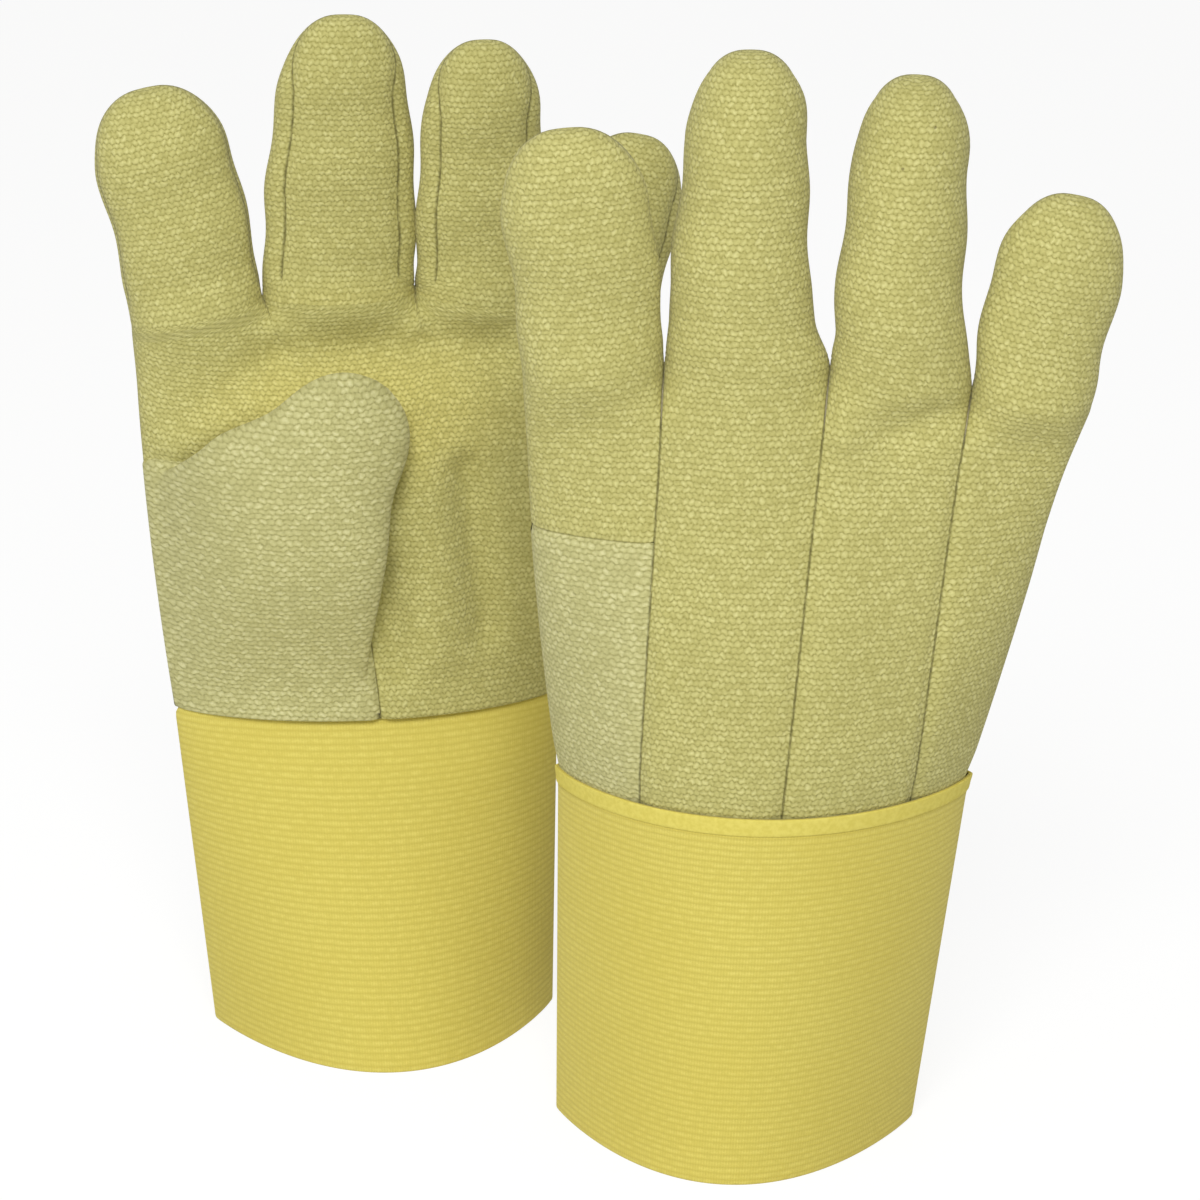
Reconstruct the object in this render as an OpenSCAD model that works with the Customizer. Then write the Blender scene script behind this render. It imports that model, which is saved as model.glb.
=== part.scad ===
// A pair of sewn heat-resistant gauntlet gloves, standing on their cuffs.
// Each glove is clute cut: a palm panel, four back strips, a thumb panel, a lining and a ribbed cuff.
// A cloth piece is the space between two offsets of one glove surface, given by the functions below.
// Millimetres, +Z up, +Y away from the viewer: the left glove shows its palm, the right one its back.

/* [Cuff] */
// Height of the cuff
cuff_h = 121; // [80:1:160]
// Width of the open rim between its side creases
rim_w = 113; // [90:1:130]
// Depth of the rim from its crease line to the palm side
rim_palm = 51; // [35:1:60]
// Depth of the rim from its crease line to the back
rim_back = 52; // [35:1:60]
// Thickness of the cuff cloth
cuff_t = 1.8; // [1.2:0.1:2.6]
// Height of the smooth turned band along the top of the cuff
band_h = 4.5; // [3:0.5:8]
// Thickness of that band
band_t = 0.8; // [0.6:0.1:1.6]
// How far the left hand's cloth laps down over its cuff
left_lap = 13; // [8:1:20]
// How far the right hand's cloth goes down inside its cuff
right_lap = 3; // [2:0.5:8]

/* [Hand] */
// Width of the glove at the wrist
wrist_w = 126; // [110:1:140]
// Depth of the wrist on the palm side
wrist_palm = 22; // [16:1:30]
// Depth of the wrist on the back
wrist_back = 42; // [30:1:50]
// Height of the index and middle finger's crotch above the hand's lower edge
crotch_1_h = 135; // [115:1:155]
// Height of the middle and ring finger's crotch above the hand's lower edge
crotch_2_h = 135; // [115:1:155]
// Height of the ring and little finger's crotch above the hand's lower edge
crotch_3_h = 129; // [110:1:150]
// How far the knuckles lie to the little finger's side of the wrist
knuckle_shift = 11.5; // [5:0.5:20]
// Half depth of the knuckles at the crotches
knuckle_d = 15; // [12:0.5:18]
// How far the index side swells out between the wrist and the knuckles; the other side swells half as far
side_full = 2; // [0:0.5:5]
// Height of the thumb panel's top seam above the hand's lower edge
panel_h = 85; // [70:1:95]

/* [Fingers] */
// Width of the index finger's root
index_base = 42; // [36:1:48]
// Width of the middle finger's root
middle_base = 49; // [42:1:54]
// Width of the ring finger's root
ring_base = 42; // [37:1:48]
// Width of the little finger's root
little_base = 35; // [31:1:40]
// Length of the index finger from its crotch line
index_l = 73; // [60:1:85]
// Length of the middle finger from its crotch line
middle_l = 93; // [78:1:110]
// Length of the ring finger from its crotch line
ring_l = 88; // [75:1:105]
// Length of the little finger from its crotch line
little_l = 62; // [50:1:72]
// Girth of the index finger's cloth
index_girth = 112; // [104:1:120]
// Girth of the middle finger's cloth
middle_girth = 104; // [96:1:112]
// Girth of the ring finger's cloth
ring_girth = 104; // [96:1:112]
// Girth of the little finger's cloth
little_girth = 98; // [90:1:106]
// How far the index finger's tip bends towards the palm
index_curl = 0; // [0:0.5:20]
// How far the middle finger's tip bends towards the palm
middle_curl = 13; // [0:0.5:20]
// How far the ring finger's tip bends towards the palm
ring_curl = 18; // [0:0.5:20]
// How far the little finger's tip bends towards the palm
little_curl = 8; // [0:0.5:20]
// Height of a rounded fingertip
tip_h = 26; // [20:1:30]

/* [Thumb] */
// Place of the thumb's root across the palm, from the wrist's middle
thumb_x = -42; // [-46:1:-38]
// Height of the thumb's root above the hand's lower edge
thumb_z = 48; // [44:1:54]
// Length of the thumb from its root
thumb_l = 83; // [70:1:92]
// Length of the thumb that stands free of its base
thumb_free = 47; // [40:1:52]
// Slope of the thumb across the palm, in degrees above level
thumb_slope = 53; // [48:1:58]
// Width of the thumb where it leaves the palm
thumb_root_w = 63; // [54:1:68]
// Width of the thumb at its rounded end
thumb_tip_w = 37; // [32:1:42]
// Thickness of the thumb
thumb_d = 20; // [17:1:25]
// Gap between the folded thumb and the palm
thumb_rest = 2; // [1.5:0.5:5]

/* [Cloth] */
// Thickness of the outer cloth
cloth_t = 2; // [1.4:0.1:2.6]
// Thickness of the felt lining
liner_t = 2; // [1:0.1:3]
// Gap between two layers
layer_gap = 0.3; // [0.2:0.05:0.5]
// Gap between the hand's cloth and the cuff
cuff_gap = 0.8; // [0.5:0.1:1.2]
// Gap between two pieces along a seam
seam_gap = 0.3; // [0.2:0.05:0.5]
// Gap between a digit and the hand at its bend
bend_gap = 0.4; // [0.3:0.05:0.8]
// Gap between neighbouring fingers at their crotch
crotch_gap = 2; // [1.5:0.5:4]

/* [Left glove] */
// Place of the left cuff's middle along X
left_x = -68.5; // [-80:0.1:-65]
// Place of the left cuff's middle along Y
left_y = 42; // [35:0.5:60]
// Turn of the left glove about the vertical
left_turn = 7.5; // [0:0.5:12]
// Lean of the left glove away from the viewer
left_lean = 4.5; // [3:0.5:6]
// Sideways shift of the left wrist from its rim
left_sway = -3.5; // [-8:0.5:4]
// Lean of the left index finger, in degrees towards the little finger's side
left_index_lean = -11; // [-12:0.5:-5]
// Lean of the left middle finger
left_middle_lean = 1.5; // [-2:0.5:2]
// Lean of the left ring finger
left_ring_lean = 1; // [1:0.5:4]
// Lean of the left little finger
left_little_lean = 11.5; // [8:0.5:14]
// Width that the left index finger gains from its root to its tip
left_index_ease = 2; // [0:0.5:4]
// Width that the left middle finger gains, or loses below 0
left_middle_ease = -8; // [-14:0.5:-4]
// Width that the left ring finger gains, or loses below 0
left_ring_ease = -6; // [-10:0.5:-2]
// Width that the left little finger gains
left_little_ease = 2; // [0:0.5:5]

/* [Right glove] */
// Place of the right cuff's middle along X
right_x = 46; // [40:0.1:55]
// Place of the right cuff's middle along Y
right_y = -38; // [-60:0.5:-33]
// Turn of the right glove about the vertical
right_turn = -3; // [-8:0.5:2]
// Lean of the right glove away from the viewer
right_lean = -4.5; // [-6:0.5:-3]
// Sideways shift of the right wrist from its rim
right_sway = 8; // [2:0.5:12]
// Lean of the right index finger, in degrees towards the little finger's side
right_index_lean = -6.5; // [-12:0.5:-5]
// Lean of the right middle finger
right_middle_lean = 0; // [-2:0.5:2]
// Lean of the right ring finger
right_ring_lean = 2; // [1:0.5:4]
// Lean of the right little finger
right_little_lean = 11; // [8:0.5:14]
// Width that the right index finger gains from its root to its tip
right_index_ease = 0; // [0:0.5:4]
// Width that the right middle finger gains, or loses below 0
right_middle_ease = -14; // [-16:0.5:-6]
// Width that the right ring finger gains, or loses below 0
right_ring_ease = -7; // [-10:0.5:-2]
// Width that the right little finger gains
right_little_ease = 3; // [0:0.5:5]

/* [Hidden] */

// The two gloves, as indices into the lists of their own values
LEFT = 0;
RIGHT = 1;
// The four fingers, as indices into the lists of their values
INDEX = 0;
MIDDLE = 1;
RING = 2;
LITTLE = 3;

place_x = [left_x, right_x];
place_y = [left_y, right_y];
turn = [left_turn, right_turn];
lean = [left_lean, right_lean];
sway = [left_sway, right_sway];
palm_side = [-1, 1];
hand_z = [cuff_h - left_lap, cuff_h - right_lap];
ease = [
  [left_index_ease, left_middle_ease, left_ring_ease, left_little_ease],
  [right_index_ease, right_middle_ease, right_ring_ease, right_little_ease]
];
base_w = [index_base, middle_base, ring_base, little_base];
finger_l = [index_l, middle_l, ring_l, little_l];
girth = [index_girth, middle_girth, ring_girth, little_girth];
curl = [index_curl, middle_curl, ring_curl, little_curl];
finger_lean = [
  [left_index_lean, left_middle_lean, left_ring_lean, left_little_lean],
  [right_index_lean, right_middle_lean, right_ring_lean, right_little_lean]
];

// Column borders at the knuckles, from the index side to the little finger's side
knuckle_w = index_base + middle_base + ring_base + little_base;
border_0 = knuckle_shift - knuckle_w / 2;
border_1 = border_0 + index_base;
border_2 = border_1 + middle_base;
border_3 = border_2 + ring_base;
knuckle_x = [border_0, border_1, border_2, border_3, border_3 + little_base];
// The same borders' heights on each glove: the outer two lie square to their fingers
knuckle_z = [
  for (g = [LEFT, RIGHT]) [
    crotch_1_h + index_base * tan(finger_lean[g][INDEX]), crotch_1_h, crotch_2_h, crotch_3_h,
    crotch_3_h - little_base * tan(finger_lean[g][LITTLE])
  ]
];
// Where the three back seams, and the palm's plain borders below the crotches, reach the wrist,
// as shares of the half width
back_seam_at = [-1, -0.6, 0.1, 0.73, 1];
palm_border_at = [-1, 0, 0.36, 0.68, 1];

// Shape of the sections: 0.5 is an ellipse and 1 a pointed lens
rim_point = 0.92;
wrist_point = 0.75;
hand_point = 0.52;
// Share of the hand's height below which no finger swells yet
swell_start = 0.74;
swell_power = 1.5;
swell_most = 0.92;
// Angle from the back's middle at which a finger's side seams lie on the palm side
side_seam = [100, 129, 132, 129];
// Height over which a knuckle runs out into its finger, and the share of the finger's taper that lies there
root_h = 14;
root_share = 0.3;
// Least depth of a finger as a share of its width
flattest = 0.45;
// Share of the width and of the depth that is left at the very tip
tip_w_share = 0.1;
tip_d_share = 0.03;
tip_power = 2.1;

// Grid sizes
STRIP_COLS = 4;
LOW_ROWS = 2;
HIGH_ROWS = 3;
FRONT_COLS = 4;
BACK_COLS = 6;
DIGIT_ROWS = 3;
TIP_ROWS = 3;
CUFF_COLS = 24;
BASE_COLS = 24;

function mix(a, b, t) = a + (b - a) * t;
function unit(t) = min(1, max(0, t));
function soft(t) = let (u = unit(t)) u * u * (3 - 2 * u);
function rounded(u) = pow(max(0, 1 - pow(unit(u), tip_power)), 1 / tip_power);
function steps(from, to, count) = [for (k = [0:count]) mix(from, to, k / count)];

// A point of glove g from [x across, q towards the palm, z up] to the shared frame
function placed(g, p) =
  let (y = palm_side[g] * p.y + tan(lean[g]) * p.z)
  [
    place_x[g] + p.x * cos(turn[g]) - y * sin(turn[g]),
    place_y[g] + p.x * sin(turn[g]) + y * cos(turn[g]),
    p.z
  ];

// Border i of the columns at share v of the hand's height, measured from the wrist's middle
function border_x(i, v, palm) =
  mix((palm ? palm_border_at[i] : back_seam_at[i]) * wrist_w / 2, knuckle_x[i], v)
  + (i == 0 ? -side_full : i == 4 ? side_full / 2 : 0) * 4 * v * (1 - v);

// Depths of the hand at share v of its height
function palm_depth(v) = mix(wrist_palm, knuckle_d, v * v);
function back_depth(v) = mix(wrist_back, knuckle_d, soft(v));
function point_at(v) = mix(wrist_point, hand_point, unit(2 * v));
function swell(v) = swell_most * pow(unit((v - swell_start) / (1 - swell_start)), swell_power);
// Middle and half width of the hand, and the place of x on a layer that lies off below its surface
function hand_mid(v) = (border_x(0, v, false) + border_x(4, v, false)) / 2;
function hand_half(v) = (border_x(4, v, false) - border_x(0, v, false)) / 2;
function drawn_in(x, v, off) = mix(x, hand_mid(v), off / hand_half(v));

// Depth of the plain hand at x, without the fingers' swell
function hand_depth(x, v, palm, off) =
  let (across = (x - hand_mid(v)) / hand_half(v))
  ((palm ? palm_depth(v) : back_depth(v)) - off) * pow(max(0, 1 - across * across), point_at(v));

// Share of the hand's height at z, and how far its rows fan out there to the fingers' own crotches
function palm_share(z) = z / crotch_1_h;
panel_share = palm_share(panel_h);
function fan(v) = unit((v - panel_share) / (1 - panel_share));

// Palm or back surface of finger column i: psi is 0 at the back's middle and 180 at the palm's middle
function hand_point_at(g, i, palm, psi, v, off) =
  let (
    left = border_x(i, v, palm),
    right = border_x(i + 1, v, palm),
    grow = swell(v),
    x = mix(left, right, 0.5) + ((right - left - seam_gap) / 2 - off * grow) * sin(psi),
    across = drawn_in(x, v, off),
    crotch = mix(knuckle_z[g][i], knuckle_z[g][i + 1], (across - left) / (right - left)),
    plain = hand_depth(x, v, palm, off),
    swollen = (knuckle_d - off) * abs(cos(psi)),
    q = mix(plain, swollen, grow) + seam_gap / 2
  )
  [sway[g] + across, palm ? q : -q, hand_z[g] + v * mix(crotch_1_h, crotch, fan(v))];

// Finger surface: f runs from 0 at the root to 1 at the tip
function finger_width(g, i) = base_w[i] + ease[g][i];
function finger_depth(g, i) =
  let (w = finger_width(g, i) / 2)
  sqrt(max(pow(flattest * w, 2), girth[i] * girth[i] / (2 * PI * PI) - w * w));
function finger_point(g, i, psi, f, off) =
  let (
    l = finger_l[i],
    s = mix(bend_gap, l - off, f),
    narrow = soft(s / root_h),
    tip = (s - l + off + tip_h) / tip_h,
    taper = mix(unit(s / (l - tip_h)), narrow, root_share),
    w = mix((base_w[i] - crotch_gap) / 2, finger_width(g, i) / 2, taper) - off,
    d = mix(knuckle_d, finger_depth(g, i), narrow) - off,
    wide = w * mix(tip_w_share, 1, rounded(tip)),
    deep = d * mix(tip_d_share, 1, rounded(tip)),
    a = finger_lean[g][i],
    row = atan2(knuckle_z[g][i + 1] - knuckle_z[g][i], base_w[i]),
    tilt = mix(row, -a, narrow),
    x = (knuckle_x[i] + knuckle_x[i + 1]) / 2 + s * sin(a) + wide * sin(psi) * cos(tilt),
    z = (knuckle_z[g][i] + knuckle_z[g][i + 1]) / 2 + s * cos(a) + wide * sin(psi) * sin(tilt)
  )
  [sway[g] + x, curl[i] * f * f - deep * cos(psi) - sign(cos(psi)) * seam_gap / 2, hand_z[g] + z];
// Angle of finger i's side seams at share f of its length
function seam_angle(i, f) =
  let (l = finger_l[i])
  90 + (side_seam[i] - 90) * soft(f * l / root_h) * (1 - soft((f * l - l + tip_h) / tip_h));
// Distance of a piece's edge from its seam as an angle, at half depth d
function seam_inset(d) = seam_gap / d * 180 / PI;
// Angles of the back's and of the front's columns, which the lining shares
function back_angles(g, i, f) =
  let (reach = seam_angle(i, f) - seam_inset(finger_depth(g, i)))
  steps(-reach, reach, BACK_COLS);
function front_angles(g, i, f) =
  let (reach = seam_angle(i, f) + seam_inset(finger_depth(g, i)))
  steps(reach, 360 - reach, FRONT_COLS);

// Thumb: tau runs along it from its root, l across it and q off the palm
thumb_dir = [cos(thumb_slope), sin(thumb_slope)];
thumb_bend = thumb_l - thumb_free;
// Depth of the palm at x and z, on a layer that lies off below its surface
function palm_q(x, z, off) = hand_depth(x, palm_share(z), true, off) + seam_gap / 2;
function thumb_spot(g, tau, across, q) = [
  sway[g] + thumb_x + tau * thumb_dir.x + across * thumb_dir.y,
  q,
  hand_z[g] + thumb_z + tau * thumb_dir.y - across * thumb_dir.x
];
// Height of the thumb's middle over the crease line at tau
thumb_low = palm_q(thumb_x + thumb_bend * thumb_dir.x, thumb_z + thumb_bend * thumb_dir.y, 0);
thumb_high = palm_q(thumb_x + thumb_l * thumb_dir.x, thumb_z + thumb_l * thumb_dir.y, 0);
function thumb_mid(tau) =
  mix(thumb_low, thumb_high, (tau - thumb_bend) / (thumb_l - thumb_bend)) + thumb_rest + thumb_d / 2;
function thumb_point(g, psi, f, off) =
  let (
    tau = mix(thumb_bend + bend_gap, thumb_l - off, f),
    tip = (tau - thumb_l + off + tip_h) / tip_h,
    along = unit((tau - thumb_bend) / (thumb_l - tip_h - thumb_bend)),
    w = mix(thumb_root_w, thumb_tip_w, along) / 2 - off,
    wide = w * mix(tip_w_share, 1, rounded(tip)),
    deep = (thumb_d / 2 - off) * mix(tip_d_share, 1, rounded(tip))
  )
  thumb_spot(g, tau, wide * sin(psi), thumb_mid(tau) - deep * cos(psi) - sign(cos(psi)) * seam_gap / 2);

// Thumb base: k is 0 on the panel's outline, 1 on the footprint and 2 at the bend
BASE_RINGS = [0, 0.6, 1, 1.5, 2];
foot_tau = 5.5;
foot_across = 3;
foot_l = 24;
foot_w = 25;
foot_skew = 5.5;
// The panel's outline is a rectangle from low to the panel's top; its upper inner corner has psi 0
function outline_spot(psi, low) =
  let (
    a = psi + 45,
    corner = max(abs(sin(a)), abs(cos(a))),
    z = mix(low, panel_h - seam_gap, (1 + cos(a) / corner) / 2),
    v = palm_share(z),
    left = border_x(0, v, true) + seam_gap / 2,
    right = border_x(1, v, true) - seam_gap / 2
  )
  [mix(left, right, (1 + sin(a) / corner) / 2), z];
function elbow_point(g, psi, e, off) =
  let (
    tau = mix(foot_tau + (foot_l - off) * cos(psi) - foot_skew * sin(psi), thumb_bend, e),
    across = mix(foot_across, 0, soft(e)) + (mix(foot_w, thumb_root_w / 2, soft(e)) - off) * sin(psi),
    flat = thumb_spot(g, tau, across, 0),
    ground = palm_q(flat.x - sway[g], flat.z - hand_z[g], off),
    risen = thumb_mid(thumb_bend) - (thumb_d / 2 - off) * cos(psi)
  )
  [flat.x, mix(ground, risen, soft(e)), flat.z];
function base_point(g, psi, k, off, low) =
  let (
    outline = outline_spot(psi, low),
    edge_x = drawn_in(outline.x, palm_share(outline.y), off),
    foot = elbow_point(g, psi, 0, off),
    foot_x = foot.x - sway[g],
    z = mix(outline.y, foot.z - hand_z[g], k)
  )
  k < 1
    ? [sway[g] + mix(edge_x, foot_x, k), palm_q(mix(outline.x, foot_x, k), z, off), hand_z[g] + z]
    : elbow_point(g, psi, k - 1, off);

// Cuff surface at height z; off is negative outside the glove's own surface
function cuff_point(g, psi, z, off) =
  let (
    f = unit(z / hand_z[g]),
    v = max(0, z - hand_z[g]) / crotch_1_h,
    palm = cos(psi) < 0,
    left = mix(-rim_w / 2, border_x(0, v, false), f),
    right = mix(rim_w / 2, border_x(4, v, false), f),
    half = (right - left) / 2 - off,
    depth = palm ? mix(rim_palm, palm_depth(v), f) : mix(rim_back, back_depth(v), f),
    point = mix(rim_point, point_at(v), f),
    q = (depth - off) * pow(abs(cos(psi)), 2 * point)
  )
  [sway[g] * f + (left + right) / 2 + half * sin(psi), palm ? q : -q, z];
// How far the cuff steps inside the left hand's cloth, or outside the right hand's
cuff_step = [cloth_t + cuff_gap + band_t + layer_gap, -cuff_t - cuff_gap];
step_h = 22;
function cuff_off(g, z) = cuff_step[g] * soft((z - min(hand_z[g], cuff_h - band_h) + step_h) / step_h);

// Solid between an outer and an inner grid of glove points, open along all four sides
// The columns from cut on start at row hem instead of row 0
function flat_list(rows) = [for (row = rows) for (p = row) p];
function quad(a, b, c, d, flip) = flip ? [[a, b, c], [a, c, d]] : [[a, c, b], [a, d, c]];
module cloth_patch(g, outer, inner, hem = 0, cut = 0) {
  rows = len(outer);
  cols = len(outer[0]);
  flip = g == LEFT;
  skin = rows * cols;
  points = [for (p = concat(flat_list(outer), flat_list(inner))) placed(g, p)];
  function there(i, j) = i >= 0 && j >= 0 && i < rows - 1 && j < cols - 1 && (i >= hem || j < cut);
  function wall(a, b) = quad(a, skin + a, skin + b, b, flip);
  faces = [
    for (i = [0:rows - 2]) for (j = [0:cols - 2]) if (there(i, j)) let (a = i * cols + j, b = a + cols)
      each concat(
        quad(a, a + 1, b + 1, b, flip),
        quad(skin + a, skin + b, skin + b + 1, skin + a + 1, flip),
        there(i - 1, j) ? [] : wall(a, a + 1),
        there(i + 1, j) ? [] : wall(b + 1, b),
        there(i, j - 1) ? [] : wall(b, a),
        there(i, j + 1) ? [] : wall(a + 1, b + 1)
      )
  ];
  polyhedron(points, faces);
}

// Solid between an outer and an inner grid whose rows close round, open at both ends
module cloth_tube(g, outer, inner) {
  rows = len(outer);
  cols = len(outer[0]);
  flip = g == LEFT;
  skin = rows * cols;
  top = (rows - 1) * cols;
  points = [for (p = concat(flat_list(outer), flat_list(inner))) placed(g, p)];
  faces = [
    for (i = [0:rows - 2]) for (j = [0:cols - 1])
      let (a = i * cols + j, b = a + cols, c = i * cols + (j + 1) % cols, d = c + cols) each concat(
        quad(a, c, d, b, flip),
        quad(skin + a, skin + b, skin + d, skin + c, flip)
      ),
    for (j = [0:cols - 1]) let (k = (j + 1) % cols) each concat(
      quad(j, skin + j, skin + k, k, flip),
      quad(top + j, top + k, skin + top + k, skin + top + j, flip)
    )
  ];
  polyhedron(points, faces);
}

// Angles round a closed ring, and shares along a digit with more rows at its root and tip
function ring(count) = [for (k = [0:count - 1]) 360 * k / count];
function digit_rows(l) = concat(
  [for (k = [0:DIGIT_ROWS - 1]) (1 - tip_h / l) * k / DIGIT_ROWS],
  [for (k = [0:TIP_ROWS]) 1 - tip_h / l * (1 - sin(90 * k / TIP_ROWS))]
);

// The hand's outer pieces
cloth_color = "#cdc67d";
panel_color = "#d7d496";
liner_color = "#e6dcae";
cuff_color = "#e6d25a";
band_color = "#f0dc78";

// Shares of the hand's height at which its rows lie: hem, lining's edge, thumb panel's top, knuckles
panel_rows = concat([0], steps(palm_share(left_lap + seam_gap), panel_share, LOW_ROWS));
index_rows = steps(palm_share(panel_h + seam_gap), 1, HIGH_ROWS);
hand_rows = concat(panel_rows, [for (k = [1:HIGH_ROWS]) mix(panel_share, 1, k / HIGH_ROWS)]);
lining_rows = [for (v = hand_rows) if (v > 0) v];

// The palm ends above the thumb panel in the index column, which comes last
module palm_layers(g, rows, outer, inner) {
  function layer(off) = [
    for (v = rows) [
      for (i = [LITTLE:-1:INDEX]) for (psi = steps(90, 270, STRIP_COLS))
        hand_point_at(g, i, true, psi, v, off)
    ]
  ];
  cloth_patch(g, layer(outer), layer(inner), len(rows) - 1 - HIGH_ROWS, LITTLE * (STRIP_COLS + 1) - 1);
}

module back_layers(g, columns, rows, outer, inner) {
  function layer(off) = [
    for (v = rows)
      [for (i = columns) for (psi = steps(-90, 90, STRIP_COLS)) hand_point_at(g, i, false, psi, v, off)]
  ];
  cloth_patch(g, layer(outer), layer(inner));
}

module palm_panel(g) {
  color(cloth_color) palm_layers(g, hand_rows, 0, cloth_t);
}

module back_strip(g, i) {
  color(cloth_color) back_layers(g, [i], i == INDEX ? index_rows : hand_rows, 0, cloth_t);
}

module thumb_side_panel(g) {
  color(panel_color) back_layers(g, [INDEX], panel_rows, 0, cloth_t);
}

module thumb_base_layer(g, low, outer, inner) {
  function layer(off) = [
    for (k = BASE_RINGS) [for (psi = ring(BASE_COLS)) base_point(g, psi, k, off, low)]
  ];
  cloth_tube(g, layer(outer), layer(inner));
}

module thumb_base(g) {
  color(panel_color) thumb_base_layer(g, 0, 0, cloth_t);
}

// The lining lies inside the cloth and starts above the left cuff's top
liner_out = cloth_t + layer_gap;
liner_in = liner_out + liner_t;

module thumb_base_liner(g) {
  color(liner_color) thumb_base_layer(g, left_lap + seam_gap, liner_out, liner_in);
}

module palm_liner(g) {
  color(liner_color) palm_layers(g, lining_rows, liner_out, liner_in);
}

module back_liner(g) {
  color(liner_color) back_layers(g, [INDEX:LITTLE], lining_rows, liner_out, liner_in);
}

// The digits
module finger_back(g, i) {
  function layer(off) = [
    for (f = digit_rows(finger_l[i])) [for (psi = back_angles(g, i, f)) finger_point(g, i, psi, f, off)]
  ];
  color(cloth_color) cloth_patch(g, layer(0), layer(cloth_t));
}

module finger_front(g, i) {
  function layer(off) = [
    for (f = digit_rows(finger_l[i])) [for (psi = front_angles(g, i, f)) finger_point(g, i, psi, f, off)]
  ];
  color(cloth_color) cloth_patch(g, layer(0), layer(cloth_t));
}

module finger_liner(g, i) {
  function layer(off) = [
    for (f = digit_rows(finger_l[i]))
      [for (psi = concat(back_angles(g, i, f), front_angles(g, i, f))) finger_point(g, i, psi, f, off)]
  ];
  color(liner_color) cloth_tube(g, layer(liner_out), layer(liner_in));
}

// Angles of the thumb's inner half round its middle, and of its outer half
thumb_reach = 90 - seam_inset(thumb_d / 2);
inner_angles = steps(-thumb_reach, thumb_reach, BACK_COLS);
outer_angles = steps(180 - thumb_reach, 180 + thumb_reach, BACK_COLS);
function thumb_layer(g, angles, off) = [
  for (f = digit_rows(thumb_free)) [for (psi = angles) thumb_point(g, psi, f, off)]
];

module thumb_outer(g) {
  color(panel_color) cloth_patch(g, thumb_layer(g, outer_angles, 0), thumb_layer(g, outer_angles, cloth_t));
}

module thumb_inner(g) {
  color(panel_color) cloth_patch(g, thumb_layer(g, inner_angles, 0), thumb_layer(g, inner_angles, cloth_t));
}

module thumb_liner(g) {
  angles = concat(inner_angles, outer_angles);
  color(liner_color) cloth_tube(g, thumb_layer(g, angles, liner_out), thumb_layer(g, angles, liner_in));
}

// The cuff and its band
module cuff_layers(g, heights, outer, inner) {
  function layer(off) = [
    for (z = heights) [for (psi = ring(CUFF_COLS)) cuff_point(g, psi, z, cuff_off(g, z) + off)]
  ];
  cloth_tube(g, layer(outer), layer(inner));
}

module cuff(g) {
  step_z = cuff_h - step_h;
  heights = [0, step_z / 2, step_z, cuff_h - left_lap, cuff_h - band_h, cuff_h];
  color(cuff_color) cuff_layers(g, heights, 0, cuff_t);
}

module cuff_band(g) {
  color(band_color) cuff_layers(g, [cuff_h - band_h, cuff_h], -layer_gap - band_t, -layer_gap);
}

palm_panel(LEFT);  // left_palm_panel
back_strip(LEFT, INDEX);  // left_index_back_strip
back_strip(LEFT, MIDDLE);  // left_middle_back_strip
back_strip(LEFT, RING);  // left_ring_back_strip
back_strip(LEFT, LITTLE);  // left_little_back_strip
thumb_side_panel(LEFT);  // left_thumb_side_panel
thumb_base(LEFT);  // left_thumb_base
palm_liner(LEFT);  // left_palm_liner
back_liner(LEFT);  // left_back_liner
thumb_base_liner(LEFT);  // left_thumb_base_liner
cuff(LEFT);  // left_cuff
cuff_band(LEFT);  // left_cuff_band
finger_front(LEFT, INDEX);  // left_index_front
finger_front(LEFT, MIDDLE);  // left_middle_front
finger_front(LEFT, RING);  // left_ring_front
finger_front(LEFT, LITTLE);  // left_little_front
finger_back(LEFT, INDEX);  // left_index_back
finger_back(LEFT, MIDDLE);  // left_middle_back
finger_back(LEFT, RING);  // left_ring_back
finger_back(LEFT, LITTLE);  // left_little_back
finger_liner(LEFT, INDEX);  // left_index_liner
finger_liner(LEFT, MIDDLE);  // left_middle_liner
finger_liner(LEFT, RING);  // left_ring_liner
finger_liner(LEFT, LITTLE);  // left_little_liner
thumb_outer(LEFT);  // left_thumb_outer
thumb_inner(LEFT);  // left_thumb_inner
thumb_liner(LEFT);  // left_thumb_liner
palm_panel(RIGHT);  // right_palm_panel
back_strip(RIGHT, INDEX);  // right_index_back_strip
back_strip(RIGHT, MIDDLE);  // right_middle_back_strip
back_strip(RIGHT, RING);  // right_ring_back_strip
back_strip(RIGHT, LITTLE);  // right_little_back_strip
thumb_side_panel(RIGHT);  // right_thumb_side_panel
thumb_base(RIGHT);  // right_thumb_base
palm_liner(RIGHT);  // right_palm_liner
back_liner(RIGHT);  // right_back_liner
thumb_base_liner(RIGHT);  // right_thumb_base_liner
cuff(RIGHT);  // right_cuff
cuff_band(RIGHT);  // right_cuff_band
finger_front(RIGHT, INDEX);  // right_index_front
finger_front(RIGHT, MIDDLE);  // right_middle_front
finger_front(RIGHT, RING);  // right_ring_front
finger_front(RIGHT, LITTLE);  // right_little_front
finger_back(RIGHT, INDEX);  // right_index_back
finger_back(RIGHT, MIDDLE);  // right_middle_back
finger_back(RIGHT, RING);  // right_ring_back
finger_back(RIGHT, LITTLE);  // right_little_back
finger_liner(RIGHT, INDEX);  // right_index_liner
finger_liner(RIGHT, MIDDLE);  // right_middle_liner
finger_liner(RIGHT, RING);  // right_ring_liner
finger_liner(RIGHT, LITTLE);  // right_little_liner
thumb_outer(RIGHT);  // right_thumb_outer
thumb_inner(RIGHT);  // right_thumb_inner
thumb_liner(RIGHT);  // right_thumb_liner
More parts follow.
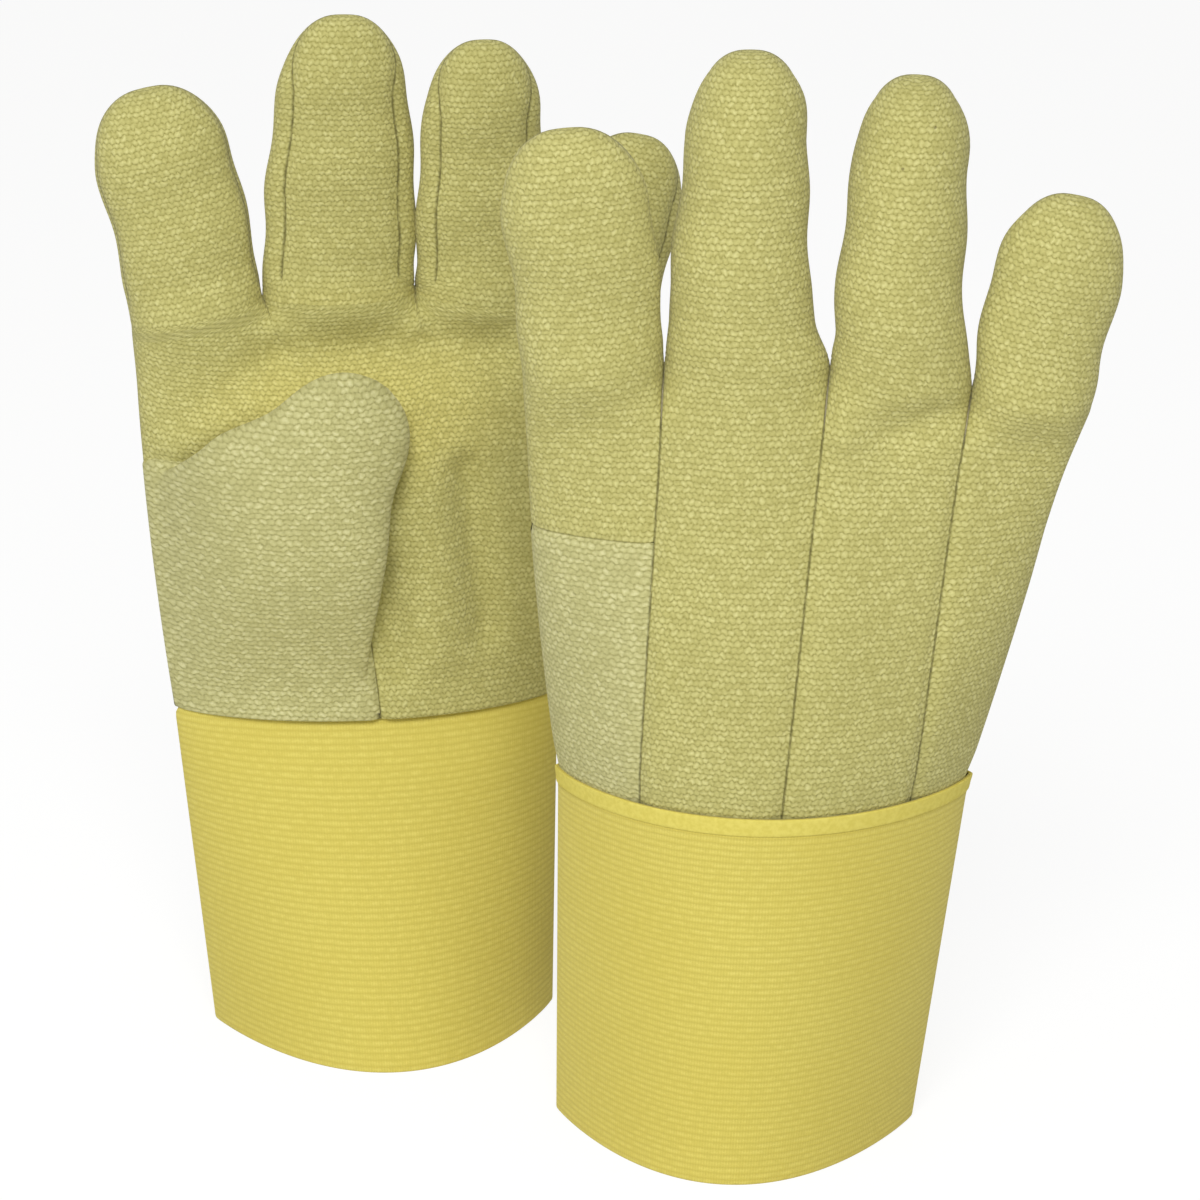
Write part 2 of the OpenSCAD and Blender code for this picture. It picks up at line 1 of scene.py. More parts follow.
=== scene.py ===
# A pair of sewn heat-resistant gauntlet gloves that stand on their cuffs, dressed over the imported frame.
# Lengths are millimetres, as in the part's source, and become metres when a mesh is made.
import bmesh
import bpy
import numpy as np
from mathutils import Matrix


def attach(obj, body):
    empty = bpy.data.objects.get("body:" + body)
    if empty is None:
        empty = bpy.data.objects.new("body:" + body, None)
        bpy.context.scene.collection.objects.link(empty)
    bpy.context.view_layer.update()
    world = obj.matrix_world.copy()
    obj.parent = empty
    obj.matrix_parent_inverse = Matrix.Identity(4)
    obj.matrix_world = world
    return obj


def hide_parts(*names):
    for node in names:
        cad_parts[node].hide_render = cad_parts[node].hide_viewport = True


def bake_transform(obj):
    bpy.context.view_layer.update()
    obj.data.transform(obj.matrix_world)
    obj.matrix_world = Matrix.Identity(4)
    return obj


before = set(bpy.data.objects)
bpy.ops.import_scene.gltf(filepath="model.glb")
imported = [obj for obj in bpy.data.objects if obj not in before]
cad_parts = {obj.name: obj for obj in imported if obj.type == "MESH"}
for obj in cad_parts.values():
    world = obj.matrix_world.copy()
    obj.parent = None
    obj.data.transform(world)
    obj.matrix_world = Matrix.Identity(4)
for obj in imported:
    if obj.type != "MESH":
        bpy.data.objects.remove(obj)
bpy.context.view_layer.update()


# Studio: a long lens 19 degrees above the table, a white floor that takes the gloves' shadow, and a
# white surround. One large soft lamp hangs above the camera, a weaker one to the left.
scene = bpy.context.scene
scene.view_settings.view_transform = "Standard"
aim = np.array([3.5, -16.5, 165.0])
camera_tilt = np.radians(19.0)
camera_away = 1400.0
to_camera = np.array([0.0, -np.cos(camera_tilt), np.sin(camera_tilt)])
camera = bpy.data.objects.new("camera", bpy.data.cameras.new("camera"))
camera.data.lens = 135.2
camera.data.sensor_width = 36.0
camera.location = (aim + camera_away * to_camera) / 1000.0
camera.rotation_euler = (np.pi / 2 - camera_tilt, 0.0, 0.0)
scene.collection.objects.link(camera)
scene.camera = camera


def tone(red, green, blue):
    """Colour as seen on a screen, 0 to 255, as the linear colour that a shader takes."""
    seen = np.array([red, green, blue]) / 255.0
    linear = np.where(seen <= 0.04045, seen / 12.92, ((seen + 0.055) / 1.055) ** 2.4)
    return (*linear.tolist(), 1.0)


def add_node(tree, kind, inputs=None, **settings):
    """New shader node with its settings, each input linked to a socket or set to a value."""
    made = tree.nodes.new("ShaderNode" + kind)
    for key, value in settings.items():
        setattr(made, key, value)
    for key, value in (inputs or {}).items():
        if isinstance(value, bpy.types.NodeSocket):
            tree.links.new(value, made.inputs[key])
        else:
            made.inputs[key].default_value = value
    return made


def calc(tree, operation, a, b=0.0, c=0.0):
    """Result of one Math node."""
    return add_node(tree, "Math", {0: a, 1: b, 2: c}, operation=operation).outputs[0]


def seen_ray(tree):
    """1 for the rays that show the background itself: seen straight, mirrored or through glass."""
    path = add_node(tree, "LightPath")
    direct = calc(tree, "MAXIMUM", path.outputs["Is Camera Ray"], path.outputs["Is Glossy Ray"])
    return calc(tree, "MAXIMUM", direct, path.outputs["Is Transmission Ray"])


world = bpy.data.worlds.new("surround")
world.use_nodes = True
scene.world = world
sky_tree = world.node_tree
sky_tree.nodes.clear()
soft_sky = add_node(sky_tree, "Background", {"Color": tone(250, 250, 248), "Strength": 0.39}).outputs[0]
white_sky = add_node(sky_tree, "Background", {"Color": (1, 1, 1, 1), "Strength": 1.0}).outputs[0]
sky = add_node(sky_tree, "MixShader", {0: seen_ray(sky_tree), 1: soft_sky, 2: white_sky})
add_node(sky_tree, "OutputWorld", {"Surface": sky.outputs[0]})

floor_reach, floor_glow, floor_share = 6.0, 1.12, 0.76
floor_corners = [(-1, -1), (1, -1), (1, 1), (-1, 1)]
floor_mesh = bpy.data.meshes.new("floor")
floor_mesh.from_pydata([(floor_reach * x, floor_reach * y, 0) for x, y in floor_corners], [], [(0, 1, 2, 3)])
floor_finish = bpy.data.materials.new("white_floor")
floor_finish.use_nodes = True
floor_tree = floor_finish.node_tree
floor_tree.nodes.clear()
floor_matt = add_node(floor_tree, "BsdfDiffuse", {"Color": tone(243, 243, 242)}).outputs[0]
floor_white = add_node(floor_tree, "Emission", {"Color": (1, 1, 1, 1), "Strength": floor_glow}).outputs[0]
floor_seen = calc(floor_tree, "MULTIPLY", seen_ray(floor_tree), floor_share)
floor_mix = add_node(floor_tree, "MixShader", {0: floor_seen, 1: floor_matt, 2: floor_white})
add_node(floor_tree, "OutputMaterial", {"Surface": floor_mix.outputs[0]})
floor_mesh.materials.append(floor_finish)
floor = bpy.data.objects.new("floor", floor_mesh)
scene.collection.objects.link(floor)


def hang_lamp(name, place, size, watts):
    """Square lamp of one size in metres that shines from its place at the gloves' middle."""
    lamp = bpy.data.objects.new(name, bpy.data.lights.new(name, "AREA"))
    lamp.data.size = size
    lamp.data.energy = watts
    lamp.location = place
    toward = aim / 1000.0 - np.array(place)
    tip = np.arctan2(np.hypot(toward[0], toward[1]), -toward[2])
    lamp.rotation_euler = (tip, 0.0, np.arctan2(-toward[0], toward[1]))
    scene.collection.objects.link(lamp)


hang_lamp("key_lamp", (-0.1, -1.5, 1.5), 0.8, 23.0)
hang_lamp("fill_lamp", (-1.3, -1.0, 0.9), 1.0, 3.0)


# Back strips: four straw-coloured strips of coarse plain-woven aramid cloth, each running from the hem up
# over the back and round its finger's tip. They are sewn edge to edge, with the seams turned in as grooves.
FINGERS = ("index", "middle", "ring", "little")
BASE_W = np.array([42.0, 49.0, 42.0, 35.0])
FINGER_L = (74.5, 93.0, 88.0, 62.0)
GIRTH = (112.0, 104.0, 104.0, 98.0)
SIDE_SEAM = (100.0, 129.0, 132.0, 129.0)
ROOT_H, BOW_H, TIP_H = 14.0, 22.0, 26.0
WRIST_W, WRIST_PALM, WRIST_BACK = 126.0, 22.0, 42.0
KNUCKLE_D, CROTCH_H, LITTLE_CROTCH_H, PANEL_H, TUCK_H = 15.0, 135.0, 129.0, 85.0, 14.0
SIDE_FULL, PALM_FULL, KNUCKLE_SHIFT = 2.0, 6.0, 11.5
PANEL_V = PANEL_H / CROTCH_H
BACK_AT = (-1.0, -0.6, 0.1, 0.73, 1.0)
PALM_AT = (-1.0, 0.045, 0.36, 0.68, 1.0)
KNUCKLE_X = KNUCKLE_SHIFT - BASE_W.sum() / 2 + np.concatenate([[0.0], np.cumsum(BASE_W)])
# Each glove has its place, turn, lean, shift of the hand, side of the palm, height of the hem and its tuck,
# then each finger's lean, ease of width, bow, narrowing of the tip and curl, and the power of the curl. A fold
# is x0, z0, x1, z1, width, height.
GLOVES = {
    "left": dict(
        x=-68.5, y=42.0, turn=7.5, lean=4.5, sway=-3.5, palm=-1.0, hand_z=108.0, tuck=0.0,
        leans=(-11.0, 1.5, 0.0, 11.5), eases=(2.0, -1.5, -1.5, 2.0), bows=(1.2, 0.0, 0.0, 0.0),
        tips=(0.0, 0.2, 0.12, 0.0), curls=(7.0, 20.0, 25.0, 13.0), curl_power=1.0,
        palm_folds=(
            (33, 80, 38, 28, 6, -5.5), (18, 86, 22, 22, 9, 2.4), (4, 50, 8, 14, 6, -3.5),
            (-26, 118, 42, 120, 9, -7.0), (-34, 116, -56, 99, 8, -2.6), (-30, 104, 12, 102, 9, 3.6),
            (-61, 91, -46, 98, 5, 3.8),
        ),
        back_folds=((10, 115, 4, 60, 12, 1.6), (48, 110, 40, 40, 8, -2.0), (-30, 118, -34, 96, 6, -1.4)),
    ),
    "right": dict(
        x=46.0, y=-38.0, turn=-3.0, lean=-4.5, sway=8.0, palm=1.0, hand_z=118.0, tuck=0.7,
        leans=(-6.0, 0.0, 2.0, 11.0), eases=(2.5, -13.5, -8.0, 3.0), bows=(1.0, -2.4, -1.8, -1.0),
        tips=(0.0, 0.0, 0.0, 0.0), curls=(0.0, 13.0, 18.0, 8.0), curl_power=1.4,
        palm_folds=((30, 90, 36, 25, 8, -3.0), (18, 84, 16, 30, 8, 1.6), (-28, 126, 24, 127, 6, -1.8)),
        back_folds=(
            (57, 130, 38, 119, 7, -3.2), (22, 131, 23, 118, 5, 1.6), (16, 124, 13, 98, 6, -1.6),
            (-6, 118, -9, 55, 13, 1.5), (54, 80, 46, 38, 8, -1.4), (-36, 114, -38, 94, 6, -1.3),
            (28, 92, 22, 45, 8, 0.9),
        ),
    ),
}
for glove in GLOVES.values():
    index_rise = BASE_W[0] * np.tan(np.radians(glove["leans"][0]))
    little_fall = BASE_W[3] * np.tan(np.radians(glove["leans"][3]))
    glove["knuckle_z"] = np.array(
        [CROTCH_H + index_rise, CROTCH_H, CROTCH_H, LITTLE_CROTCH_H, LITTLE_CROTCH_H - little_fall]
    )


def mix(a, b, t):
    """Point at share t of the way from a to b."""
    return a + (b - a) * t


def soft(t):
    """Smooth step: 0 below 0, 1 above 1, and 3t² - 2t³ between."""
    t = np.clip(t, 0.0, 1.0)
    return t * t * (3.0 - 2.0 * t)


def bell(apart, wide):
    """Bell curve: e to the minus square of the distance over a width, so 1 on a line and near 0 beside it."""
    return np.exp(-((apart / wide) ** 2))


def placed(glove, x, q, z):
    """One glove's x across, q towards its palm and z up, leaned, turned and set down in the shared frame."""
    x, q, z = np.broadcast_arrays(x, q, z)
    y = glove["palm"] * q + np.tan(np.radians(glove["lean"])) * z
    c, s = np.cos(np.radians(glove["turn"])), np.sin(np.radians(glove["turn"]))
    return np.stack([glove["x"] + x * c - y * s, glove["y"] + x * s + y * c, z], -1)


def border(i, v, palm):
    """Column border i at share v of the hand's height: a line from wrist to knuckles, bowed by 4v(1 - v) at
    the hand's sides and where the palm meets the thumb panel."""
    bow = (-SIDE_FULL, PALM_FULL * palm, 0.0, 0.0, SIDE_FULL / 2)[i] * 4 * v * (1 - v)
    return mix((PALM_AT if palm else BACK_AT)[i] * WRIST_W / 2, KNUCKLE_X[i], v) + bow


FOLD_LOW, FOLD_TOP, FOLD_FADE = 20.0, 0.94, 0.06


def slack(folds, x, z):
    """Rise of the loose cloth over the plain hand: each fold is a bell-shaped ridge, or a valley below 0,
    about a line from x0, z0 to x1, z1. All run out at the hem and at the knuckles."""
    rise = np.zeros(np.broadcast(x, z).shape)
    for x0, z0, x1, z1, wide, high in folds:
        dx, dz = x1 - x0, z1 - z0
        along = np.clip(((x - x0) * dx + (z - z0) * dz) / (dx**2 + dz**2), 0, 1)
        rise = rise + high * bell(np.hypot(x - mix(x0, x1, along), z - mix(z0, z1, along)), wide)
    return rise * soft(z / FOLD_LOW) * (1 - soft((z / CROTCH_H - FOLD_TOP) / FOLD_FADE))


LENS_POWER, OVAL_POWER = 0.75, 0.52


def half_depth(v, palm):
    """Hand's greatest depth on the palm's side or the back's, at share v of its height."""
    return mix(WRIST_PALM, KNUCKLE_D, v * v) if palm else mix(WRIST_BACK, KNUCKLE_D, soft(v))


def edge_power(v):
    """Power that shapes the hand's section: a lens at the wrist, near an ellipse from half its height up."""
    return mix(LENS_POWER, OVAL_POWER, np.clip(2 * v, 0, 1))


def hand_depth(x, v, palm, off, folds=()):
    """Hand's depth at x, off below its face: half depth times (1 - across²) to a power."""
    low, high = border(0, v, palm), border(4, v, palm)
    across = (2 * x - low - high) / (high - low)
    lift = slack(folds, x, v * CROTCH_H) - off
    return (half_depth(v, palm) + lift) * np.maximum(0.0, 1.0 - across**2) ** edge_power(v)


OUTER_SIDE = (-1, 0, 0, 1)
SWELL_BACK, SWELL_PALM, SWELL_CROTCH, SWELL_SIDE, SWELL_POWER = 0.84, 0.8, 0.93, PANEL_V + 0.01, 1.3


def hand_column(glove, i, palm, psi, v, off):
    """Palm or back of one finger's column, swelling from the plain hand to the finger's round root, soonest at
    the hand's outer sides. psi is 0 at the back's middle and pi at the palm's; v is the share of the hand's
    height; off is the depth below the cloth's face."""
    off = off + glove["tuck"] * (1 - soft(v * CROTCH_H / TUCK_H))
    left, right = border(i, v, palm), border(i + 1, v, palm)
    low, high = border(0, v, palm), border(4, v, palm)
    start = mix(SWELL_PALM, SWELL_CROTCH, np.sin(psi) ** 2) if palm else SWELL_BACK
    start = mix(start, SWELL_SIDE, np.clip(OUTER_SIDE[i] * np.sin(psi), 0, 1) ** 2)
    grow = soft((v - start) / (1 - start)) ** SWELL_POWER
    plain = (left + right) / 2 + (right - left) / 2 * np.sin(psi)
    x = plain - off * grow * np.sin(psi)
    across = mix(x, (low + high) / 2, 2 * off / (high - low))
    crotch = mix(glove["knuckle_z"][i], glove["knuckle_z"][i + 1], (across - left) / (right - left))
    fan = np.clip((v - PANEL_V) / (1 - PANEL_V), 0, 1)
    folds = glove["palm_folds" if palm else "back_folds"]
    root = (KNUCKLE_D + slack(folds, x, v * CROTCH_H) - off) * np.abs(np.cos(psi))
    q = mix(hand_depth(plain, v, palm, off, folds), root, grow)
    return glove["sway"] + across, q if palm else -q, glove["hand_z"] + v * mix(CROTCH_H, crotch, fan)


DOME_POWER, POLE_W = 2.1, 0.1


def tip_share(s, length):
    """Share of a digit's tip that lies below length s: 0 up to the tip and 1 at its end."""
    return np.clip((s - length + TIP_H) / TIP_H, 0, 1)


def dome(end):
    """Width left at a share of the tip: 1 - share to a power, to one over that power, near a half circle."""
    return np.maximum(0.0, 1.0 - end**DOME_POWER) ** (1 / DOME_POWER)


LEAST_DEPTH, ROOT_SHARE, NARROW_FROM = 0.45, 0.3, 0.3
WAVE_H, WAVE_L, WAVE_SHIFT = 0.5, 31.0, 1.9


def finger_tube(glove, i, psi, s, off):
    """Finger at length s from its root: an oval of a set girth, bowed sideways, that narrows and closes to a
    round tip and curls towards the palm. A slow wave winds round it where the cloth is slack."""
    length = FINGER_L[i]
    wide = (BASE_W[i] + glove["eases"][i]) / 2
    deep = np.sqrt(max((LEAST_DEPTH * wide) ** 2, GIRTH[i] ** 2 / (2 * np.pi**2) - wide**2))
    narrow = soft(s / ROOT_H)
    taper = mix(np.clip(s / (length - TIP_H), 0, 1), narrow, ROOT_SHARE)
    end = tip_share(s, length)
    off = off - WAVE_H * narrow * (1 - soft(end)) * np.sin(2 * np.pi * s / WAVE_L + WAVE_SHIFT * i + psi)
    low, high = glove["knuckle_z"][i], glove["knuckle_z"][i + 1]
    w = (mix(np.hypot(BASE_W[i], high - low) / 2, wide, taper) - off) * mix(POLE_W, 1.0, dome(end))
    w = w * (1 - glove["tips"][i] * soft((s / length - NARROW_FROM) / (1 - NARROW_FROM)))
    d = (mix(KNUCKLE_D, deep, narrow) - off) * dome(end)
    slant = np.radians(glove["leans"][i])
    tilt = mix(np.arctan2(high - low, BASE_W[i]), -slant, narrow)
    bow = glove["bows"][i] * soft(s / BOW_H) * (1 - soft((s - BOW_H) / (length - BOW_H)))
    x = (KNUCKLE_X[i] + KNUCKLE_X[i + 1]) / 2 + bow + s * np.sin(slant) + w * np.sin(psi) * np.cos(tilt)
    z = (low + high) / 2 + s * np.cos(slant) + w * np.sin(psi) * np.sin(tilt)
    q = glove["curls"][i] * (s / length) ** glove["curl_power"] - d * np.cos(psi)
    return glove["sway"] + x, q, glove["hand_z"] + z


SEAM_RISE, ROW_GAP, TIP_ROWS = 6.0, 1.6, 20


def seam_angle(i, s):
    """Angle of a finger's side seams from the back's middle: 90 degrees at root and tip, more between."""
    risen = soft(s / SEAM_RISE) * (1 - soft(tip_share(s, FINGER_L[i])))
    return np.radians(90 + (SIDE_SEAM[i] - 90) * risen)


def tip_rows(length, count):
    """Lengths of the rows over a digit's tip, closer and closer to its end."""
    return length - TIP_H * (1 - np.sin(np.linspace(0, np.pi / 2, count)[1:]))


def finger_rows(i):
    """Lengths of a finger's rows: even along it, then those over the tip."""
    straight = FINGER_L[i] - TIP_H
    even = np.linspace(0.0, straight, round(straight / ROW_GAP))
    return np.concatenate([even, tip_rows(FINGER_L[i], TIP_ROWS)])


def edge_runs(grid):
    """Length along each row from its first point, and to its last."""
    run = np.cumsum(np.linalg.norm(np.diff(grid, axis=1, prepend=grid[:, :1]), axis=2), axis=1)
    return run, run[:, -1:] - run


def laid_flat(grid, start):
    """Each point's place in the uncut cloth: its length from the middle column, and that column's length."""
    run, _ = edge_runs(grid)
    middle = grid.shape[1] // 2
    rise = np.cumsum(np.linalg.norm(np.diff(grid[:, middle], axis=0, prepend=grid[:1, middle]), axis=1))
    across = start + run - run[:, middle : middle + 1]
    return np.stack([across, np.broadcast_to(rise[:, None], run.shape)], -1)


WELD = 1e-6


def sew(name, grid, lay, seam, flip, closed=False, gone=None):
    """Mesh of a grid of points [row, column], one quad between four neighbours, with the cloth's own UV map
    in millimetres and an attribute that is 1 along a seam. gone marks the quads that are cut away."""
    rows, cols = grid.shape[:2]
    r, c = np.meshgrid(np.arange(rows - 1), np.arange(cols if closed else cols - 1), indexing="ij")
    kept = np.ones(r.shape, bool) if gone is None else ~gone
    r, c = r[kept], c[kept]
    corner_r = np.stack([r, r, r + 1, r + 1], 1)
    corner_c = np.stack([c, c + 1, c + 1, c], 1)
    if flip:
        corner_r, corner_c = corner_r[:, ::-1], corner_c[:, ::-1]
    used, quads = np.unique(corner_r * cols + corner_c % cols, return_inverse=True)
    mesh = bpy.data.meshes.new(name)
    mesh.from_pydata((grid.reshape(-1, 3)[used] / 1000.0).tolist(), [], quads.reshape(-1, 4).tolist())
    spots = lay[corner_r, corner_c].astype(np.float32)
    mesh.uv_layers.new(name="cloth").uv.foreach_set("vector", spots.ravel())
    mark = mesh.attributes.new("seam", "FLOAT", "POINT")
    mark.data.foreach_set("value", seam.reshape(-1)[used].astype(np.float32))
    shape = bmesh.new()
    shape.from_mesh(mesh)
    bmesh.ops.remove_doubles(shape, verts=shape.verts, dist=WELD)
    shape.to_mesh(mesh)
    shape.free()
    mesh.shade_smooth()
    piece = bpy.data.objects.new(name, mesh)
    scene.collection.objects.link(piece)
    return piece


def mix_colour(tree, factor, a, b, mode="MIX"):
    """Result of one colour Mix node."""
    made = add_node(tree, "Mix", {0: factor, 6: a, 7: b}, data_type="RGBA", blend_type=mode)
    return made.outputs[2]


def ranged(tree, value, low, high, to_low=0.0, to_high=1.0):
    """Value carried smoothly from one range to another."""
    inputs = {"Value": value, "From Min": low, "From Max": high, "To Min": to_low, "To Max": to_high}
    return add_node(tree, "MapRange", inputs, interpolation_type="SMOOTHSTEP").outputs[0]


def vector(tree, operation, a, b):
    """Result of one Vector Math node, where b is the factor of a SCALE and else a vector."""
    second = "Scale" if operation == "SCALE" else 1
    return add_node(tree, "VectorMath", {0: a, second: b}, operation=operation).outputs[0]


def noise(tree, place, scale, detail, roughness=0.5, distortion=0.0):
    """Value and colour of one Noise node."""
    inputs = {"Vector": place, "Scale": scale, "Detail": detail, "Roughness": roughness}
    return add_node(tree, "TexNoise", {**inputs, "Distortion": distortion}).outputs


def new_group(name, inputs, outputs):
    """Empty shader group with named float inputs and outputs, and its two end nodes."""
    group = bpy.data.node_groups.new(name, "ShaderNodeTree")
    for label, value in inputs.items():
        group.interface.new_socket(label, in_out="INPUT", socket_type="NodeSocketFloat").default_value = value
    for label in outputs:
        group.interface.new_socket(label, in_out="OUTPUT", socket_type="NodeSocketFloat")
    return group, group.nodes.new("NodeGroupInput"), group.nodes.new("NodeGroupOutput")


SPECK_FULL, SPECK_EDGE = 0.012, 0.02


def specks(tree, place, scale):
    """Small dark specks, one near each of a field of scattered points."""
    dots = add_node(tree, "TexVoronoi", {"Vector": place, "Scale": scale}).outputs["Distance"]
    return ranged(tree, dots, SPECK_FULL, SPECK_EDGE, 1.0, 0.0)


def finish_cloth(tree, colour, height, bump, depth, roughness, specular, sheen=0.0):
    """Matt cloth: a colour, a bump of some strength and depth in metres, and the Principled shader's finish."""
    shader = tree.nodes["Principled BSDF"]
    tree.links.new(colour, shader.inputs["Base Color"])
    raised = add_node(tree, "Bump", {"Strength": bump, "Distance": depth, "Height": height})
    tree.links.new(raised.outputs[0], shader.inputs["Normal"])
    shader.inputs["Roughness"].default_value = roughness
    shader.inputs["Specular IOR Level"].default_value = specular
    shader.inputs["Sheen Weight"].default_value = sheen


# Coarse weave: rows of bricks, each row shifted by half a brick. A brick rises with |sin u| times |sin v| on
# its top and sinks with (1 - |sin u|) times (1 - |sin v|) in the pits at its corners. Slow noise bends the
# rows, a wave tilts them, each brick has its own height, and quick noise roughs the fibres.
BEND_SCALE, SHAKE_SCALE, SHAKE_BY = 0.07, 0.45, 1.6
BRICK_MID, BRICK_TOP, BRICK_PIT = 0.4, 0.55, -0.9
FLECK_SCALE, FIBRE_SCALE, SPECK_SCALE = 0.3, 1.3, 0.035
weave, weave_in, weave_out = new_group(
    "coarse_weave",
    {"Across": 2.0, "Along": 1.8, "Slant": 0.2, "Wander": 1.0, "Fuzz": 0.3},
    ["Height", "Fleck", "Speck"],
)
uv = add_node(weave, "UVMap", uv_map="cloth").outputs[0]
bent = vector(weave, "SUBTRACT", noise(weave, uv, BEND_SCALE, 2.0)[1], (0.5, 0.5, 0.5))
bent = vector(weave, "SCALE", bent, weave_in.outputs["Wander"])
shaky = vector(weave, "SUBTRACT", noise(weave, uv, SHAKE_SCALE, 1.0)[1], (0.5, 0.5, 0.5))
shaky = vector(weave, "SCALE", shaky, SHAKE_BY)
thread = add_node(weave, "SeparateXYZ", {0: vector(weave, "ADD", vector(weave, "ADD", uv, bent), shaky)})
turns = calc(weave, "DIVIDE", thread.outputs[0], weave_in.outputs["Across"])
wave = calc(weave, "SINE", calc(weave, "MULTIPLY", turns, 2 * np.pi))
level = calc(weave, "MULTIPLY_ADD", wave, weave_in.outputs["Slant"], thread.outputs[1])
level = calc(weave, "DIVIDE", level, weave_in.outputs["Along"])
row = calc(weave, "FLOOR", level)
turns = calc(weave, "MULTIPLY_ADD", calc(weave, "FLOORED_MODULO", row, 2.0), 0.5, turns)
hump_u = calc(weave, "ABSOLUTE", calc(weave, "SINE", calc(weave, "MULTIPLY", turns, np.pi)))
hump_v = calc(weave, "ABSOLUTE", calc(weave, "SINE", calc(weave, "MULTIPLY", level, np.pi)))
ridge = calc(weave, "MULTIPLY", hump_u, hump_v)
pit = calc(weave, "MULTIPLY", calc(weave, "SUBTRACT", 1.0, hump_u), calc(weave, "SUBTRACT", 1.0, hump_v))
hump = calc(weave, "MULTIPLY_ADD", ridge, BRICK_TOP, calc(weave, "MULTIPLY_ADD", pit, BRICK_PIT, BRICK_MID))
brick = add_node(weave, "CombineXYZ", {0: calc(weave, "FLOOR", turns), 1: row}).outputs[0]
chance = add_node(weave, "TexWhiteNoise", {"Vector": brick}, noise_dimensions="2D").outputs[0]
fleck = noise(weave, uv, FLECK_SCALE, 3.0, 0.65)[0]
hump = calc(weave, "MULTIPLY", hump, ranged(weave, chance, 0.0, 1.0, 0.6, 1.2))
hump = calc(weave, "MULTIPLY", hump, ranged(weave, fleck, 0.25, 0.75, 0.75, 1.1))
fibre = calc(weave, "SUBTRACT", noise(weave, uv, FIBRE_SCALE, 4.0, 0.7)[0], 0.5)
rough = calc(weave, "MULTIPLY", fibre, weave_in.outputs["Fuzz"])
weave.links.new(calc(weave, "ADD", hump, rough), weave_out.inputs["Height"])
weave.links.new(fleck, weave_out.inputs["Fleck"])
weave.links.new(specks(weave, uv, SPECK_SCALE), weave_out.inputs["Speck"])

SEAM_SHADE, SPECK_SHARE, CLOUD_SHARE, CLOUD_SCALE = 0.42, 0.55, 0.16, 26.0
# Painted highlight on the palm round the thumb: its middle, width and height in the cloth's millimetres, and
# the tint that makes it paler and yellower, as if more brightly lit.
LIT_PATCH_U, LIT_PATCH_V, LIT_PATCH_W, LIT_PATCH_H = 1522.0, 112.0, 72.0, 36.0
LIT_PATCH_TINT = (1.22, 1.18, 1.05, 1.0)


def woven_finish(name, dark, base, light, **threads):
    """Cloth of one weave: dark between its bricks, light on their tops, with a broken dark line along its
    seams and a painted highlight, a paler and yellower patch on the palm round the thumb."""
    finish = bpy.data.materials.new(name)
    finish.use_nodes = True
    tree = finish.node_tree
    woven = add_node(tree, "Group", threads, node_tree=weave).outputs
    colour = mix_colour(tree, ranged(tree, woven["Height"], -0.3, 0.65), dark, base)
    colour = mix_colour(tree, ranged(tree, woven["Height"], 0.45, 1.35), colour, light)
    # Painted highlight: the palm round the thumb is tinted paler and yellower, fading out over its width and
    # height.
    cloth = add_node(tree, "UVMap", uv_map="cloth").outputs[0]
    cloth = vector(tree, "SUBTRACT", cloth, (LIT_PATCH_U, LIT_PATCH_V, 0.0))
    cloth = vector(tree, "MULTIPLY", cloth, (1 / LIT_PATCH_W, 1 / LIT_PATCH_H, 0.0))
    apart = add_node(tree, "VectorMath", {0: cloth}, operation="LENGTH").outputs["Value"]
    colour = mix_colour(tree, ranged(tree, apart, 0.2, 1.0, 1.0, 0.0), colour, LIT_PATCH_TINT, "MULTIPLY")
    cloud = noise(tree, add_node(tree, "TexCoord").outputs["Object"], CLOUD_SCALE, 3.0)[0]
    colour = mix_colour(tree, ranged(tree, cloud, 0.3, 0.75, 0.0, CLOUD_SHARE), colour, dark)
    seam = ranged(tree, add_node(tree, "Attribute", attribute_name="seam").outputs["Fac"], 0.3, 1.0)
    seam = calc(tree, "MULTIPLY", seam, ranged(tree, woven["Fleck"], 0.35, 0.6, 0.45, 0.95))
    colour = mix_colour(tree, seam, colour, (*[SEAM_SHADE * part for part in dark[:3]], 1.0))
    colour = mix_colour(tree, calc(tree, "MULTIPLY", woven["Speck"], SPECK_SHARE), colour, tone(96, 84, 52))
    finish_cloth(tree, colour, woven["Height"], 0.8, 0.00025, 0.9, 0.15, 0.12)
    return finish


hand_finish = woven_finish(
    "hand_cloth", tone(163, 156, 87), tone(202, 196, 125), tone(225, 220, 152),
    Across=2.0, Along=1.8, Slant=0.18, Wander=1.6, Fuzz=1.3,
)

# Turn of cloth at the hem: the rows run up inside, round the fold and on to the outer face.
HEM_UP = np.array([7.0, 2.0, 0.6, 0.1, 0.0, 0.25, 0.9])
HEM_IN = np.array([2.4, 2.4, 2.2, 1.6, 0.9, 0.3, 0.0])
HEM_END, HAND_ROW_GAP = 2.0, 1.7
SEAM_DEEP, SEAM_WIDE, SEAM_LINE, SIDE_SEWN = 1.2, 2.6, 0.6, 0.35
GROOVE_TOP, GROOVE_FADE, FINGER_GROOVE, LINE_FROM, LINE_FADE = 0.8, 0.2, 0.7, 4.0, 5.0


def hand_rows(low):
    """Shares of the hand's height from a folded edge at height low up to the knuckles, and each row's depth."""
    plain = np.linspace((low + HEM_END) / CROTCH_H, 1.0, round((CROTCH_H - low) / HAND_ROW_GAP))
    return np.concatenate([(low + HEM_UP) / CROTCH_H, plain]), np.concatenate([HEM_IN, 0 * plain])


def hand_groove(v):
    """Share of a seam's depth on the hand: all of it, running out at the knuckles."""
    return 1 - soft((v - GROOVE_TOP) / GROOVE_FADE)


